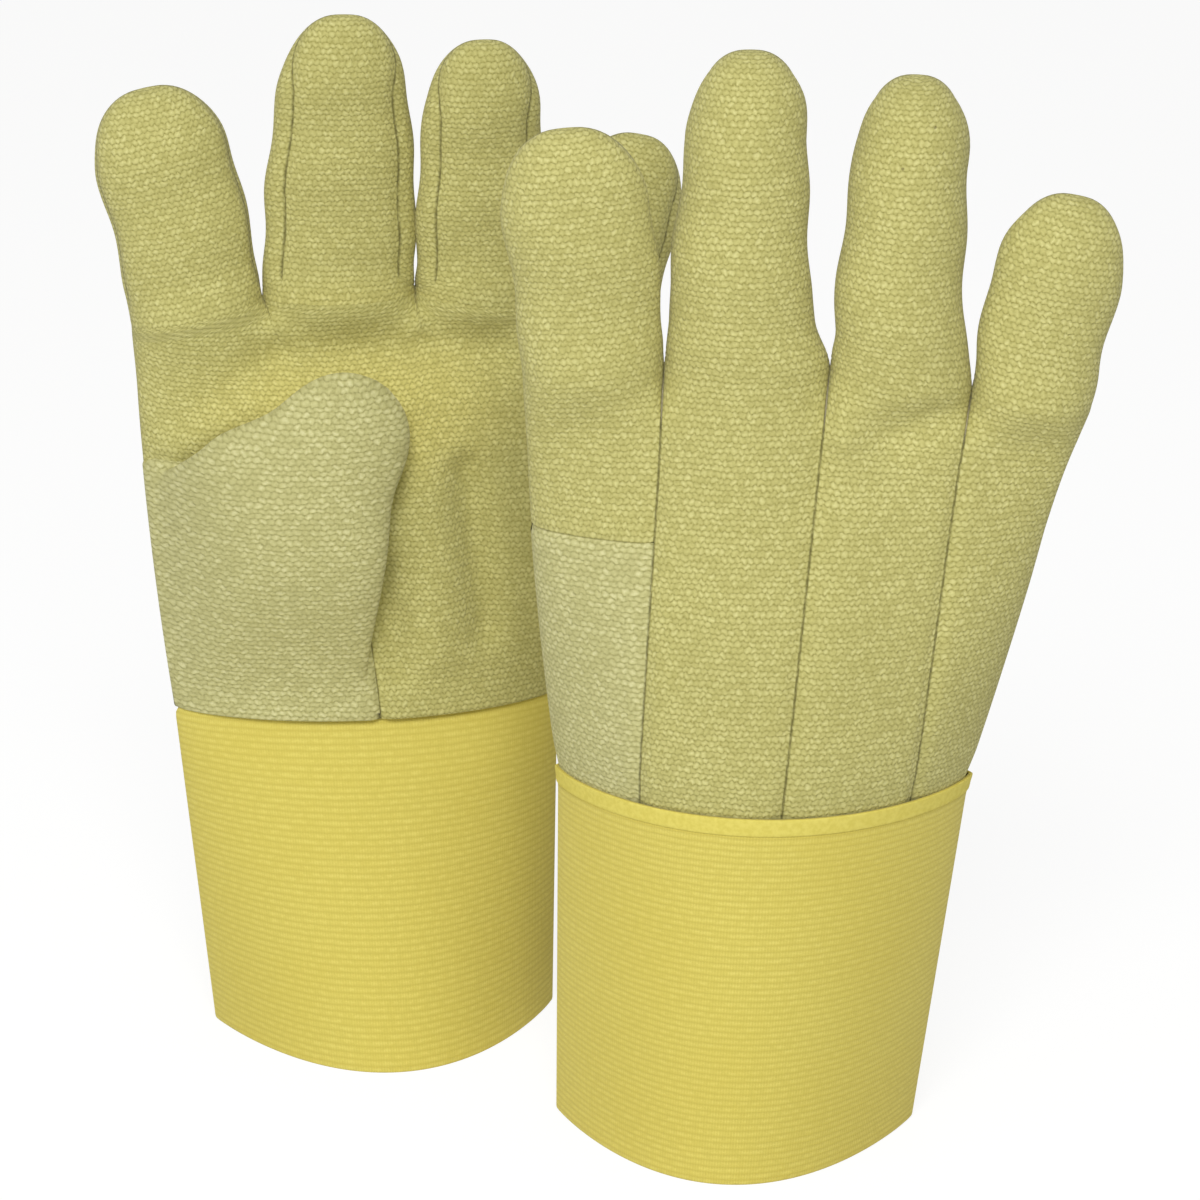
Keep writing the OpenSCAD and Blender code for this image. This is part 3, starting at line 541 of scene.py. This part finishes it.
def finger_groove(s):
    """Share of a seam's depth on a finger, none at its root."""
    return FINGER_GROOVE * soft(s / ROOT_H)


def finger_line(s):
    """Strength of the dark line in a finger's seam, none at its root."""
    return soft((s - LINE_FROM) / LINE_FADE)


def digit_root(glove, i, s):
    """Point on a finger's middle line at length s from its root, in metres in the shared frame."""
    slant = np.radians(glove["leans"][i])
    x = glove["sway"] + (KNUCKLE_X[i] + KNUCKLE_X[i + 1]) / 2 + s * np.sin(slant)
    z = glove["hand_z"] + (glove["knuckle_z"][i] + glove["knuckle_z"][i + 1]) / 2 + s * np.cos(slant)
    return tuple(placed(glove, x, 0.0, z) / 1000.0)


BEND_FROM, BEND_TO = 4.0, 28.0


def bend_ends(glove, i):
    """Where a finger's bend begins and ends."""
    return digit_root(glove, i, BEND_FROM), digit_root(glove, i, BEND_TO)


STRIP_COLS, STRIP_U, STRIP_LOW = 49, 300.0, PANEL_H - 1.5
for side, glove in GLOVES.items():
    for i, finger in enumerate(FINGERS):
        v, folded = hand_rows(STRIP_LOW if i == 0 else 0.0)
        s = finger_rows(i)[1:]
        share = np.linspace(-1.0, 1.0, STRIP_COLS)
        psi_hand, psi_finger = share[None, :] * np.pi / 2, share[None, :] * seam_angle(i, s)[:, None]

        def strip(off):
            """The strip as one grid: rows of the hand, then rows of the finger."""
            hand = placed(glove, *hand_column(glove, i, False, psi_hand, v[:, None], off[: len(v)]))
            tube = placed(glove, *finger_tube(glove, i, psi_finger, s[:, None], off[len(v) :]))
            return np.concatenate([hand, tube])

        flat = strip(np.zeros((len(v) + len(s), 1)))
        near = np.minimum(*edge_runs(flat))
        depth = np.concatenate([folded, 0 * s])[:, None] + np.zeros_like(near)
        fade = np.concatenate([hand_groove(v), finger_groove(s)])[:, None]
        shown = np.concatenate([v**0, finger_line(s)])[:, None]
        sewn = np.ones_like(near)
        if i == 0:
            sewn[: len(v), : STRIP_COLS // 2] = SIDE_SEWN
        grid = strip(depth + SEAM_DEEP * fade * sewn * bell(near, SEAM_WIDE))
        lay = laid_flat(flat, STRIP_U * i)
        seam = shown * sewn * bell(near, SEAM_LINE)
        piece = sew(f"{side}_{finger}_back_cloth", grid, lay, seam, side == "right")
        piece.data.materials.append(hand_finish)
        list(bend_ends(glove, i))
        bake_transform(piece)
        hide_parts(f"{side}_{finger}_back_strip", f"{side}_{finger}_back")
        under = [f"{side}_{finger}_liner", f"{side}_back_liner"]


# Palm: one piece of the same cloth, cut with the four finger fronts. It is sewn to the back along the outer
# edges and the fingers' sides, and to the thumb panel where its index corner is cut away.
PALM_COLS, PALM_U, PALM_MIDDLE, ROW_FIT, FAR = 40, 1500.0, 82, 4, 99.0
UNDER_DEEP, UNDER_LAP, UNDER_FADE, UNDER_EDGE = 1.6, 3.0, 5.0, 6.0
for side, glove in GLOVES.items():
    v, folded = hand_rows(0.0)
    psi = np.linspace(np.pi / 2, 3 * np.pi / 2, PALM_COLS + 1)
    columns = range(3, -1, -1)
    index_at, palm_end = 3 * PALM_COLS, 4 * PALM_COLS + 1

    def palm_sheet(off):
        """The palm as one grid: the little finger's column first and the index finger's last."""
        parts = []
        for n, i in enumerate(columns):
            own_off = off[:, PALM_COLS * n : PALM_COLS * (n + 1) + 1]
            part = placed(glove, *hand_column(glove, i, True, psi[None, :], v[:, None], own_off))
            parts.append(part[:, (n > 0) :])
        return np.concatenate(parts, 1)

    depth = np.repeat(folded[:, None], palm_end, 1)
    flat = palm_sheet(depth)
    run, rest = edge_runs(flat)
    height, in_index = v[:, None] * CROTCH_H, (np.arange(palm_end) > index_at)[None, :]
    to_thumb = np.where(height < PANEL_H, np.abs(run - run[:, index_at : index_at + 1]), FAR)
    near = np.minimum(run, to_thumb)
    stitch, groove = (
        np.maximum(bell(near, wide), SIDE_SEWN * bell(rest, wide)) for wide in (SEAM_LINE, SEAM_WIDE)
    )
    dip = SEAM_DEEP * hand_groove(v)[:, None] * groove
    under = UNDER_DEEP * soft((PANEL_H + UNDER_LAP - height) / UNDER_FADE) * soft(rest / UNDER_EDGE)
    dip = np.where(in_index, np.maximum(dip, under), dip)
    grid = palm_sheet(depth + dip)
    cut = (height[:-1] < PANEL_H - UNDER_LAP) & (np.arange(palm_end - 1) >= index_at)[None, :]
    rise = np.cumsum(np.linalg.norm(np.diff(flat, axis=0, prepend=flat[:1]), axis=2), axis=0)
    at, poly = np.linspace(-1.0, 1.0, palm_end), np.polynomial.polynomial
    rise = poly.polyval(at, poly.polyfit(at, rise.T, ROW_FIT))
    lay = np.stack([PALM_U + run - run[:, PALM_MIDDLE : PALM_MIDDLE + 1], rise], -1)
    piece = sew(f"{side}_palm_cloth", grid, lay, stitch, side == "left", gone=cut)
    piece.data.materials.append(hand_finish)
    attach(piece, f"{side}_hand")
    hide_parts(f"{side}_palm_panel")
    root_u = lay[-1, :, 0]
    for n, i in enumerate(columns):
        finger = FINGERS[i]
        s = finger_rows(i)
        reach = np.pi - seam_angle(i, s)[:, None]
        psi_front = np.pi + np.linspace(-1.0, 1.0, PALM_COLS + 1)[None, :] * reach
        flat = placed(glove, *finger_tube(glove, i, psi_front, s[:, None], 0.0))
        near = np.minimum(*edge_runs(flat))
        dip = SEAM_DEEP * finger_groove(s)[:, None] * bell(near, SEAM_WIDE)
        grid = placed(glove, *finger_tube(glove, i, psi_front, s[:, None], dip))
        lay = laid_flat(flat, root_u[PALM_COLS * n + PALM_COLS // 2])
        lay[..., 1] += glove["knuckle_z"][i : i + 2].mean()
        stitch = bell(near, SEAM_LINE) * finger_line(s)[:, None]
        piece = sew(f"{side}_{finger}_front_cloth", grid, lay, stitch, side == "left")
        piece.data.materials.append(hand_finish)
        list(bend_ends(glove, i))
        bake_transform(piece)
        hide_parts(f"{side}_{finger}_front")


# Thumb: one pale panel of wavy napped cloth wraps the index side of the hand below the side seam, and goes on
# over the palm as the thumb, which lies folded across it. It is hemmed below, and sewn along its top and to
# the palm.
THUMB_X, THUMB_Z, THUMB_L, THUMB_BEND = -43.0, 49.0, 80.0, 36.0
THUMB_ROOT_W, THUMB_TIP_W, THUMB_D, THUMB_REST, THUMB_ROLL = 66.0, 45.0, 20.0, 2.0, 4.0
THUMB_DX, THUMB_DZ = np.cos(np.radians(53.0)), np.sin(np.radians(53.0))
FOOT_RIM, FOOT_LOW, FOOT_POWER, OUTLINE_POWER = 2.5, 7.0, 7.0, 200.0
thumb_finish = woven_finish(
    "thumb_cloth", tone(168, 163, 104), tone(204, 200, 140), tone(229, 225, 170),
    Across=2.6, Along=1.75, Slant=0.14, Wander=1.8, Fuzz=1.3,
)


def on_palm(glove, x, z, off):
    """Point of the palm at x and at height z over the hem, drawn to the hand's middle as far as it is deep."""
    off = off + glove["tuck"] * (1 - soft(z / TUCK_H))
    low, high = border(0, z / CROTCH_H, True), border(4, z / CROTCH_H, True)
    depth = hand_depth(x, z / CROTCH_H, True, off, glove["palm_folds"])
    return mix(x, (low + high) / 2, 2 * off / (high - low)), depth, z


def thumb_spot(tau, across):
    """Place across and up of a point tau along the thumb and across it."""
    return THUMB_X + tau * THUMB_DX + across * THUMB_DZ, THUMB_Z + tau * THUMB_DZ - across * THUMB_DX


def thumb_mid(tau):
    """Height of the thumb's middle line off the hand's crease line: it rests just over the palm at its bend
    and at its tip."""
    ends = [thumb_spot(at, 0.0) for at in (THUMB_BEND, THUMB_L)]
    low, high = (hand_depth(x, z / CROTCH_H, True, 0.0) for x, z in ends)
    return mix(low, high, (tau - THUMB_BEND) / (THUMB_L - THUMB_BEND)) + THUMB_REST + THUMB_D / 2


def panel_sides(psi, power):
    """Share from the left edge to the right, and from the low edge to the top, -1 to 1, of a ring with
    rounded corners, which a high power makes square. Its upper inner corner has psi 0."""
    across, up = np.sin(psi + np.pi / 4), np.cos(psi + np.pi / 4)
    corner = (np.abs(across) ** power + np.abs(up) ** power) ** (1 / power)
    return across / corner, up / corner


def panel_ring(psi, low, rim, power):
    """Ring inside the panel, rim off its top and sides, from height low."""
    across, up = panel_sides(psi, power)
    z = mix(low, PANEL_H - rim, (1 + up) / 2)
    left, right = border(0, z / CROTCH_H, True) + rim, border(1, z / CROTCH_H, True) - rim
    return mix(left, right, (1 + across) / 2), z


def thumb_stall(psi, tau, off):
    """Free thumb: an oval that tapers from its root and closes to a round end."""
    left = dome(tip_share(tau, THUMB_L))
    along = np.clip((tau - THUMB_BEND) / (THUMB_L - TIP_H - THUMB_BEND), 0, 1)
    wide = (mix(THUMB_ROOT_W, THUMB_TIP_W, along) / 2 - off) * mix(POLE_W, 1.0, left)
    x, z = thumb_spot(tau, wide * np.sin(psi))
    roll = mix(THUMB_ROLL, 0.0, along) * np.sin(psi)
    return x, thumb_mid(tau) + roll - (THUMB_D / 2 - off) * left * np.cos(psi), z


def eased(values, weights, times):
    """Rows of a grid smoothed along its columns, each time by a weighted quarter of both neighbours."""
    values = values.copy()
    for _ in range(times):
        values[1:-1] += weights[1:-1] * (values[:-2] - 2 * values[1:-1] + values[2:]) / 4
    return values


SEWN_FROM, SEWN_FADE, ELBOW_POWER, EASE_TIMES = 0.97, 0.03, 0.8, 14
MARGIN_ROWS, ELBOW_ROWS, STALL_ROWS, THUMB_TIP_ROWS = 16, 30, 15, 18


def thumb_skin(glove, psi, low, off, short=0.0):
    """Whole thumb as one grid: hem turned in, margin on the palm to a round foot, foot to bend, then bend to
    tip. Gives the points in the shared frame, their place across and up, and 1 along a sewn edge."""
    psi = psi[None, :]
    across, up = panel_sides(psi, OUTLINE_POWER)
    sewn, below = (soft((edge - SEWN_FROM) / SEWN_FADE) for edge in (np.maximum(across, up), -up))
    edge_x, edge_z = panel_ring(psi, low, 0.0, OUTLINE_POWER)
    foot_x, foot_z = panel_ring(psi, low + FOOT_LOW + off, FOOT_RIM + off, FOOT_POWER)
    bend_x, bend_z = thumb_spot(THUMB_BEND, (THUMB_ROOT_W / 2 - off) * np.sin(psi))
    k, e = np.linspace(0, 1, MARGIN_ROWS)[:, None], np.linspace(0, 1, ELBOW_ROWS)[1:, None]
    hem_off = off + HEM_IN[:, None] * below + SEAM_DEEP * sewn
    hem = on_palm(glove, edge_x, edge_z + HEM_UP[:, None] * below, hem_off)
    ridge = k * np.hypot(foot_x - edge_x, foot_z - edge_z)
    margin_z = mix(edge_z + HEM_END * below, foot_z, k)
    margin = on_palm(glove, mix(edge_x, foot_x, k), margin_z, off + SEAM_DEEP * sewn * bell(ridge, SEAM_WIDE))
    x, laid, z = on_palm(glove, mix(foot_x, bend_x, e), mix(foot_z, bend_z, e), off)
    risen = thumb_mid(THUMB_BEND) + THUMB_ROLL * np.sin(psi) - (THUMB_D / 2 - off) * np.cos(psi)
    elbow = x, mix(laid, risen, soft(e) ** ELBOW_POWER), z
    even = np.linspace(THUMB_BEND, THUMB_L - TIP_H, STALL_ROWS)[1:]
    tau = np.concatenate([even, tip_rows(THUMB_L, THUMB_TIP_ROWS)])
    stall = thumb_stall(psi, mix(THUMB_BEND, tau[:, None], 1 - short / (THUMB_L - THUMB_BEND)), off)
    weights = np.concatenate([0 * HEM_UP, soft(k[:, 0]), np.ones(len(e) + len(tau))])[:, None]

    def whole(n):
        """Coordinate n of all the rows, eased together."""
        parts = [np.broadcast_to(part[n], (len(part[1]), psi.size)) for part in (hem, margin, elbow, stall)]
        return eased(np.concatenate(parts), weights, EASE_TIMES)

    x, q, z = (whole(n) for n in range(3))
    near = np.full(x.shape, FAR)
    near[: len(HEM_UP)], near[len(HEM_UP) : len(HEM_UP) + len(k)] = 0.0, ridge
    points = placed(glove, glove["sway"] + x, q, glove["hand_z"] + z)
    return points, np.stack([x, z], -1), sewn * bell(near, SEAM_LINE)


def thumb_root(glove, tau):
    """Point on the thumb's middle line at tau, in metres in the shared frame."""
    x, z = thumb_spot(tau, 0.0)
    return tuple(placed(glove, glove["sway"] + x, thumb_mid(tau), glove["hand_z"] + z) / 1000.0)


def ring(count):
    """Angles of a closed ring's columns."""
    return np.linspace(-np.pi, np.pi, count + 1)[:-1]


LIFT_FROM, LIFT_TO = 38.0, 60.0
THUMB_COLS, SIDE_COLS, THUMB_U, SIDE_U, TOP_WIDE = 144, 41, 2200.0, 2150.0, 3.0
for side, glove in GLOVES.items():
    grid, lay, seam = thumb_skin(glove, ring(THUMB_COLS), 0.0, 0.0)
    lay = np.concatenate([lay, lay[:, :1]], 1) + (THUMB_U, 0.0)
    piece = sew(f"{side}_thumb_cloth", grid, lay, seam, side == "right", closed=True)
    piece.data.materials.append(thumb_finish)
    thumb_root(glove, LIFT_FROM)
    thumb_root(glove, LIFT_TO)
    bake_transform(piece)
    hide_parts(f"{side}_thumb_base", f"{side}_thumb_outer", f"{side}_thumb_inner")
    under = [f"{side}_palm_liner", f"{side}_thumb_liner"]

    v, folded = hand_rows(0.0)
    keep = v < PANEL_V
    v, folded = v[keep, None], folded[keep, None]
    psi = np.linspace(-np.pi / 2, np.pi / 2, SIDE_COLS)[None, :]
    flat = placed(glove, *hand_column(glove, 0, False, psi, v, folded))
    _, near = edge_runs(flat)
    top = (PANEL_V - v) * CROTCH_H
    dip = SEAM_DEEP * np.maximum(bell(near, SEAM_WIDE), bell(top, TOP_WIDE))
    grid = placed(glove, *hand_column(glove, 0, False, psi, v, folded + dip))
    lay = laid_flat(flat, SIDE_U)
    seam = bell(np.minimum(near, top), SEAM_LINE)
    piece = sew(f"{side}_thumb_side_cloth", grid, lay, seam, side == "right")
    piece.data.materials.append(thumb_finish)
    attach(piece, f"{side}_hand")
    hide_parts(f"{side}_thumb_side_panel")


# Lining: cream needled felt, two millimetres thick, cut and sewn as a second glove that lies loose inside the
# cloth. It stops short of the cuff and shows only from below.
LINING_OUT, LINING_IN, LINING_LOW = 2.6, 4.4, 13.3
LINING_SHORT, LINING_DRAW, THUMB_GAP = 3.0, 300.0, 0.8
LINING_ROWS, LINING_COLS, STALL_COLS = 40, 15, 48
felt_finish = bpy.data.materials.new("lining_felt")
felt_finish.use_nodes = True
felt_tree = felt_finish.node_tree
felt_place = add_node(felt_tree, "TexCoord").outputs["Object"]
felt_hair = noise(felt_tree, felt_place, 900.0, 4.0, distortion=1.5)[0]
felt_cloud = noise(felt_tree, felt_place, 60.0, 2.0)[0]
felt_mean = calc(felt_tree, "MULTIPLY_ADD", felt_hair, 0.6, calc(felt_tree, "MULTIPLY", felt_cloud, 0.4))
felt_share = ranged(felt_tree, felt_mean, 0.3, 0.7)
felt_colour = mix_colour(felt_tree, felt_share, tone(206, 192, 146), tone(238, 229, 192))
finish_cloth(felt_tree, felt_colour, felt_hair, 0.5, 0.0004, 0.95, 0.1, 0.2)


def line(name, grid, flip, closed):
    """Felt piece of one grid of points."""
    lay = np.zeros((grid.shape[0], grid.shape[1] + closed, 2))
    piece = sew(name, grid, lay, np.zeros(grid.shape[:2]), flip, closed=closed)
    piece.data.materials.append(felt_finish)
    return piece


def walled(outer, inner):
    """Stall of felt as one grid: rows of its outer face up, of its inner face down, and the first row again."""
    return np.concatenate([outer, inner[::-1], outer[:1]])


for side, glove in GLOVES.items():
    v = np.linspace(LINING_LOW / CROTCH_H, 1.0, LINING_ROWS)[:, None]
    for part, palm in (("palm", True), ("back", False)):
        psi = np.linspace(-np.pi / 2, np.pi / 2, LINING_COLS)[None, :] + np.pi * palm
        halves = [
            placed(glove, *hand_column(glove, i, palm, psi, v, LINING_OUT))
            for i in (range(3, -1, -1) if palm else range(4))
        ]
        piece = line(f"{side}_{part}_lining", np.concatenate(halves, 1), palm == (side == "left"), False)
        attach(piece, f"{side}_hand")
        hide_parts(f"{side}_{part}_liner")
    for i, finger in enumerate(FINGERS):
        s = finger_rows(i)[::2, None]
        s = np.concatenate([s[:-1], [[FINGER_L[i]]]]) * (FINGER_L[i] - LINING_SHORT) / FINGER_L[i]
        tubes = [
            placed(glove, *finger_tube(glove, i, ring(STALL_COLS)[None, :], s * (1 - off / LINING_DRAW), off))
            for off in (LINING_OUT, LINING_IN)
        ]
        piece = line(f"{side}_{finger}_lining", walled(*tubes), side == "right", True)
        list(bend_ends(glove, i))
        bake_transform(piece)
        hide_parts(f"{side}_{finger}_liner")
    skins = [
        thumb_skin(glove, ring(STALL_COLS), LINING_LOW, off, 2 * off)[0]
        for off in (LINING_OUT + THUMB_GAP, LINING_IN + THUMB_GAP)
    ]
    piece = line(f"{side}_thumb_lining", walled(*skins), side == "right", True)
    thumb_root(glove, LIFT_FROM)
    thumb_root(glove, LIFT_TO)
    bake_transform(piece)
    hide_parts(f"{side}_thumb_base_liner", f"{side}_thumb_liner")


# Cuff: a wide sleeve of soft yellow cloth with fine raised cords that run round it, folded flat along its two
# sides. The left one is sewn under the hand's hem; the right one's top edge, bound in a smooth band, lies
# outside.
CUFF_H, CUFF_T, CUFF_TOP_T, BAND_H, STEP_H, NIP_H = 121.0, 1.8, 1.0, 5.5, 22.0, 5.0
RIM_W, RIM_PALM, RIM_BACK, RIM_POWER = 113.0, 51.0, 52.0, 0.92
CUFF_STEP = {"left": 3.0, "right": -0.6}
CUFF_NIP = {"left": 2.4, "right": -0.2}
CORD_SPECK_SCALE, CORD_SPECK_SHARE, CORD_CLOUD_SHARE = 0.03, 0.6, 0.22

cord, cord_in, cord_out = new_group("corded_rib", {"Pitch": 2.05, "Thread": 0.9}, ["Height", "Speck"])
uv = add_node(cord, "UVMap", uv_map="cloth").outputs[0]
apart = add_node(cord, "SeparateXYZ", {0: uv})


def stretched(scale):
    """The cloth's place, scaled along the cords and across them."""
    return add_node(cord, "Mapping", {"Vector": uv, "Scale": (*scale, 1.0)}).outputs[0]


waver = calc(cord, "SUBTRACT", noise(cord, stretched((0.05, 0.12)), 1.0, 2.0)[0], 0.5)
jitter = calc(cord, "SUBTRACT", noise(cord, stretched((0.22, 0.6)), 1.0, 1.0)[0], 0.5)
level = calc(cord, "MULTIPLY_ADD", waver, 0.7, apart.outputs[1])
level = calc(cord, "MULTIPLY_ADD", jitter, 0.4, level)
swing = calc(cord, "DIVIDE", calc(cord, "MULTIPLY", level, np.pi), cord_in.outputs["Pitch"])
rib = calc(cord, "POWER", calc(cord, "ABSOLUTE", calc(cord, "SINE", swing)), 0.9)
twine = calc(cord, "DIVIDE", calc(cord, "MULTIPLY", apart.outputs[0], 2 * np.pi), cord_in.outputs["Thread"])
streak = noise(cord, stretched((0.4, 0.5)), 1.0, 3.0, 0.6)[0]
fluff = calc(cord, "SUBTRACT", noise(cord, uv, 2.2, 3.0)[0], 0.5)
body = calc(cord, "MULTIPLY", rib, ranged(cord, streak, 0.3, 0.7, 0.55, 1.15))
body = calc(cord, "MULTIPLY_ADD", calc(cord, "SINE", twine), 0.18, body)
cord.links.new(calc(cord, "MULTIPLY_ADD", fluff, 0.9, body), cord_out.inputs["Height"])
cord.links.new(specks(cord, uv, CORD_SPECK_SCALE), cord_out.inputs["Speck"])

cuff_finish = bpy.data.materials.new("cuff_rib")
cuff_finish.use_nodes = True
cuff_tree = cuff_finish.node_tree
cuff_ribs = add_node(cuff_tree, "Group", node_tree=cord).outputs
cuff_low, cuff_top = (ranged(cuff_tree, cuff_ribs["Height"], *ends) for ends in ((0.0, 0.7), (0.6, 1.3)))
cuff_colour = mix_colour(cuff_tree, cuff_low, tone(212, 196, 94), tone(220, 205, 102))
cuff_colour = mix_colour(cuff_tree, cuff_top, cuff_colour, tone(230, 216, 115))
cuff_cloud = noise(cuff_tree, add_node(cuff_tree, "TexCoord").outputs["Object"], 20.0, 3.0)[0]
cuff_cloud = ranged(cuff_tree, cuff_cloud, 0.35, 0.75, 0.0, CORD_CLOUD_SHARE)
cuff_colour = mix_colour(cuff_tree, cuff_cloud, cuff_colour, tone(212, 192, 80))
cuff_speck = calc(cuff_tree, "MULTIPLY", cuff_ribs["Speck"], CORD_SPECK_SHARE)
cuff_colour = mix_colour(cuff_tree, cuff_speck, cuff_colour, tone(104, 84, 36))
finish_cloth(cuff_tree, cuff_colour, cuff_ribs["Height"], 0.6, 0.00018, 0.88, 0.15, 0.12)

# The binding's tones are set lighter than the cuff's: a painted highlight for its upper face, which turns up
# towards the lamp.
band_finish = bpy.data.materials.new("cuff_band")
band_finish.use_nodes = True
band_tree = band_finish.node_tree
band_knit = noise(band_tree, add_node(band_tree, "TexCoord").outputs["Object"], 700.0, 3.0)[0]
band_share = ranged(band_tree, band_knit, 0.3, 0.7)
band_lit_colour = mix_colour(band_tree, band_share, tone(221, 206, 98), tone(230, 216, 110))
finish_cloth(band_tree, band_lit_colour, band_knit, 0.4, 0.0002, 0.8, 0.2)


def cuff_wall(side, glove, psi, z, off):
    """Cuff at height z: a lens-shaped ring that runs from the wide rim to the wrist, stepped in or out at its
    top, and nipped in or let out at its two creases."""
    f = np.clip(z / glove["hand_z"], 0, 1)
    v = np.maximum(0, z - glove["hand_z"]) / CROTCH_H
    top = min(glove["hand_z"], CUFF_H - BAND_H)
    step = CUFF_STEP[side] * soft((z - top + STEP_H) / STEP_H)
    nip = CUFF_NIP[side] * soft((z - top) / NIP_H + 0.5)
    palm = np.cos(psi) < 0
    left, right = mix(-RIM_W / 2, border(0, v, False), f), mix(RIM_W / 2, border(4, v, False), f)
    wrist = np.where(palm, half_depth(v, True), half_depth(v, False))
    depth = mix(np.where(palm, RIM_PALM, RIM_BACK), wrist, f)
    q = (depth - off - step) * np.abs(np.cos(psi)) ** (2 * mix(RIM_POWER, edge_power(v), f))
    x = glove["sway"] * f + (left + right) / 2 + ((right - left) / 2 - off - nip) * np.sin(psi)
    return placed(glove, x, np.where(palm, q, -q), z)


def full(wave):
    """Wave with full shoulders, its size to a power below 1."""
    return np.sign(wave) * np.abs(wave) ** BAND_POWER


CUFF_COLS, CUFF_ROWS, INNER_STEP, BAND_ROWS = 160, 70, 3, 21
BAND_OUT, BAND_HALF_T, BAND_POWER = 0.1, 0.45, 0.6
for side, glove in GLOVES.items():
    psi = np.linspace(np.pi / 2, 5 * np.pi / 2, CUFF_COLS + 1)
    even = np.linspace(1.4, CUFF_H - 0.9, CUFF_ROWS)
    up = np.concatenate([[0.0, 0.15, 0.6], even, [CUFF_H - 0.3, CUFF_H]])
    inset = np.concatenate([[0.9, 0.35, 0.1], 0 * even, [0.25, 0.9]])
    inner = CUFF_T - (CUFF_T - CUFF_TOP_T) * soft(up / CUFF_H) - inset
    z = np.concatenate([up, up[::-1][1::INNER_STEP], up[:1]])[:, None]
    off = np.concatenate([inset, inner[::-1][1::INNER_STEP], inset[:1]])[:, None]
    grid = cuff_wall(side, glove, psi[None, :], z, off)
    run, _ = edge_runs(grid)
    girth = run[len(up) // 2]
    lay = np.stack(np.broadcast_arrays(girth, z), -1)
    plain = np.zeros((len(z), CUFF_COLS))
    piece = sew(f"{side}_cuff_cloth", grid[:, :-1], lay, plain, side == "right", closed=True)
    piece.data.materials.append(cuff_finish)
    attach(piece, f"{side}_hand")
    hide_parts(f"{side}_cuff")

    t = np.linspace(0, 2 * np.pi, BAND_ROWS)[:, None]
    bulge_off = -BAND_OUT - BAND_HALF_T * full(np.cos(t))
    bulge_z = CUFF_H - BAND_H / 2 + BAND_H / 2 * full(np.sin(t))
    grid = cuff_wall(side, glove, psi[None, :], bulge_z, bulge_off)
    lay = np.stack(np.broadcast_arrays(girth, t), -1)
    plain = np.zeros((len(t), CUFF_COLS))
    piece = sew(f"{side}_cuff_binding", grid[:, :-1], lay, plain, side == "right", closed=True)
    piece.data.materials.append(band_finish)
    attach(piece, f"{side}_hand")
    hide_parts(f"{side}_cuff_band")
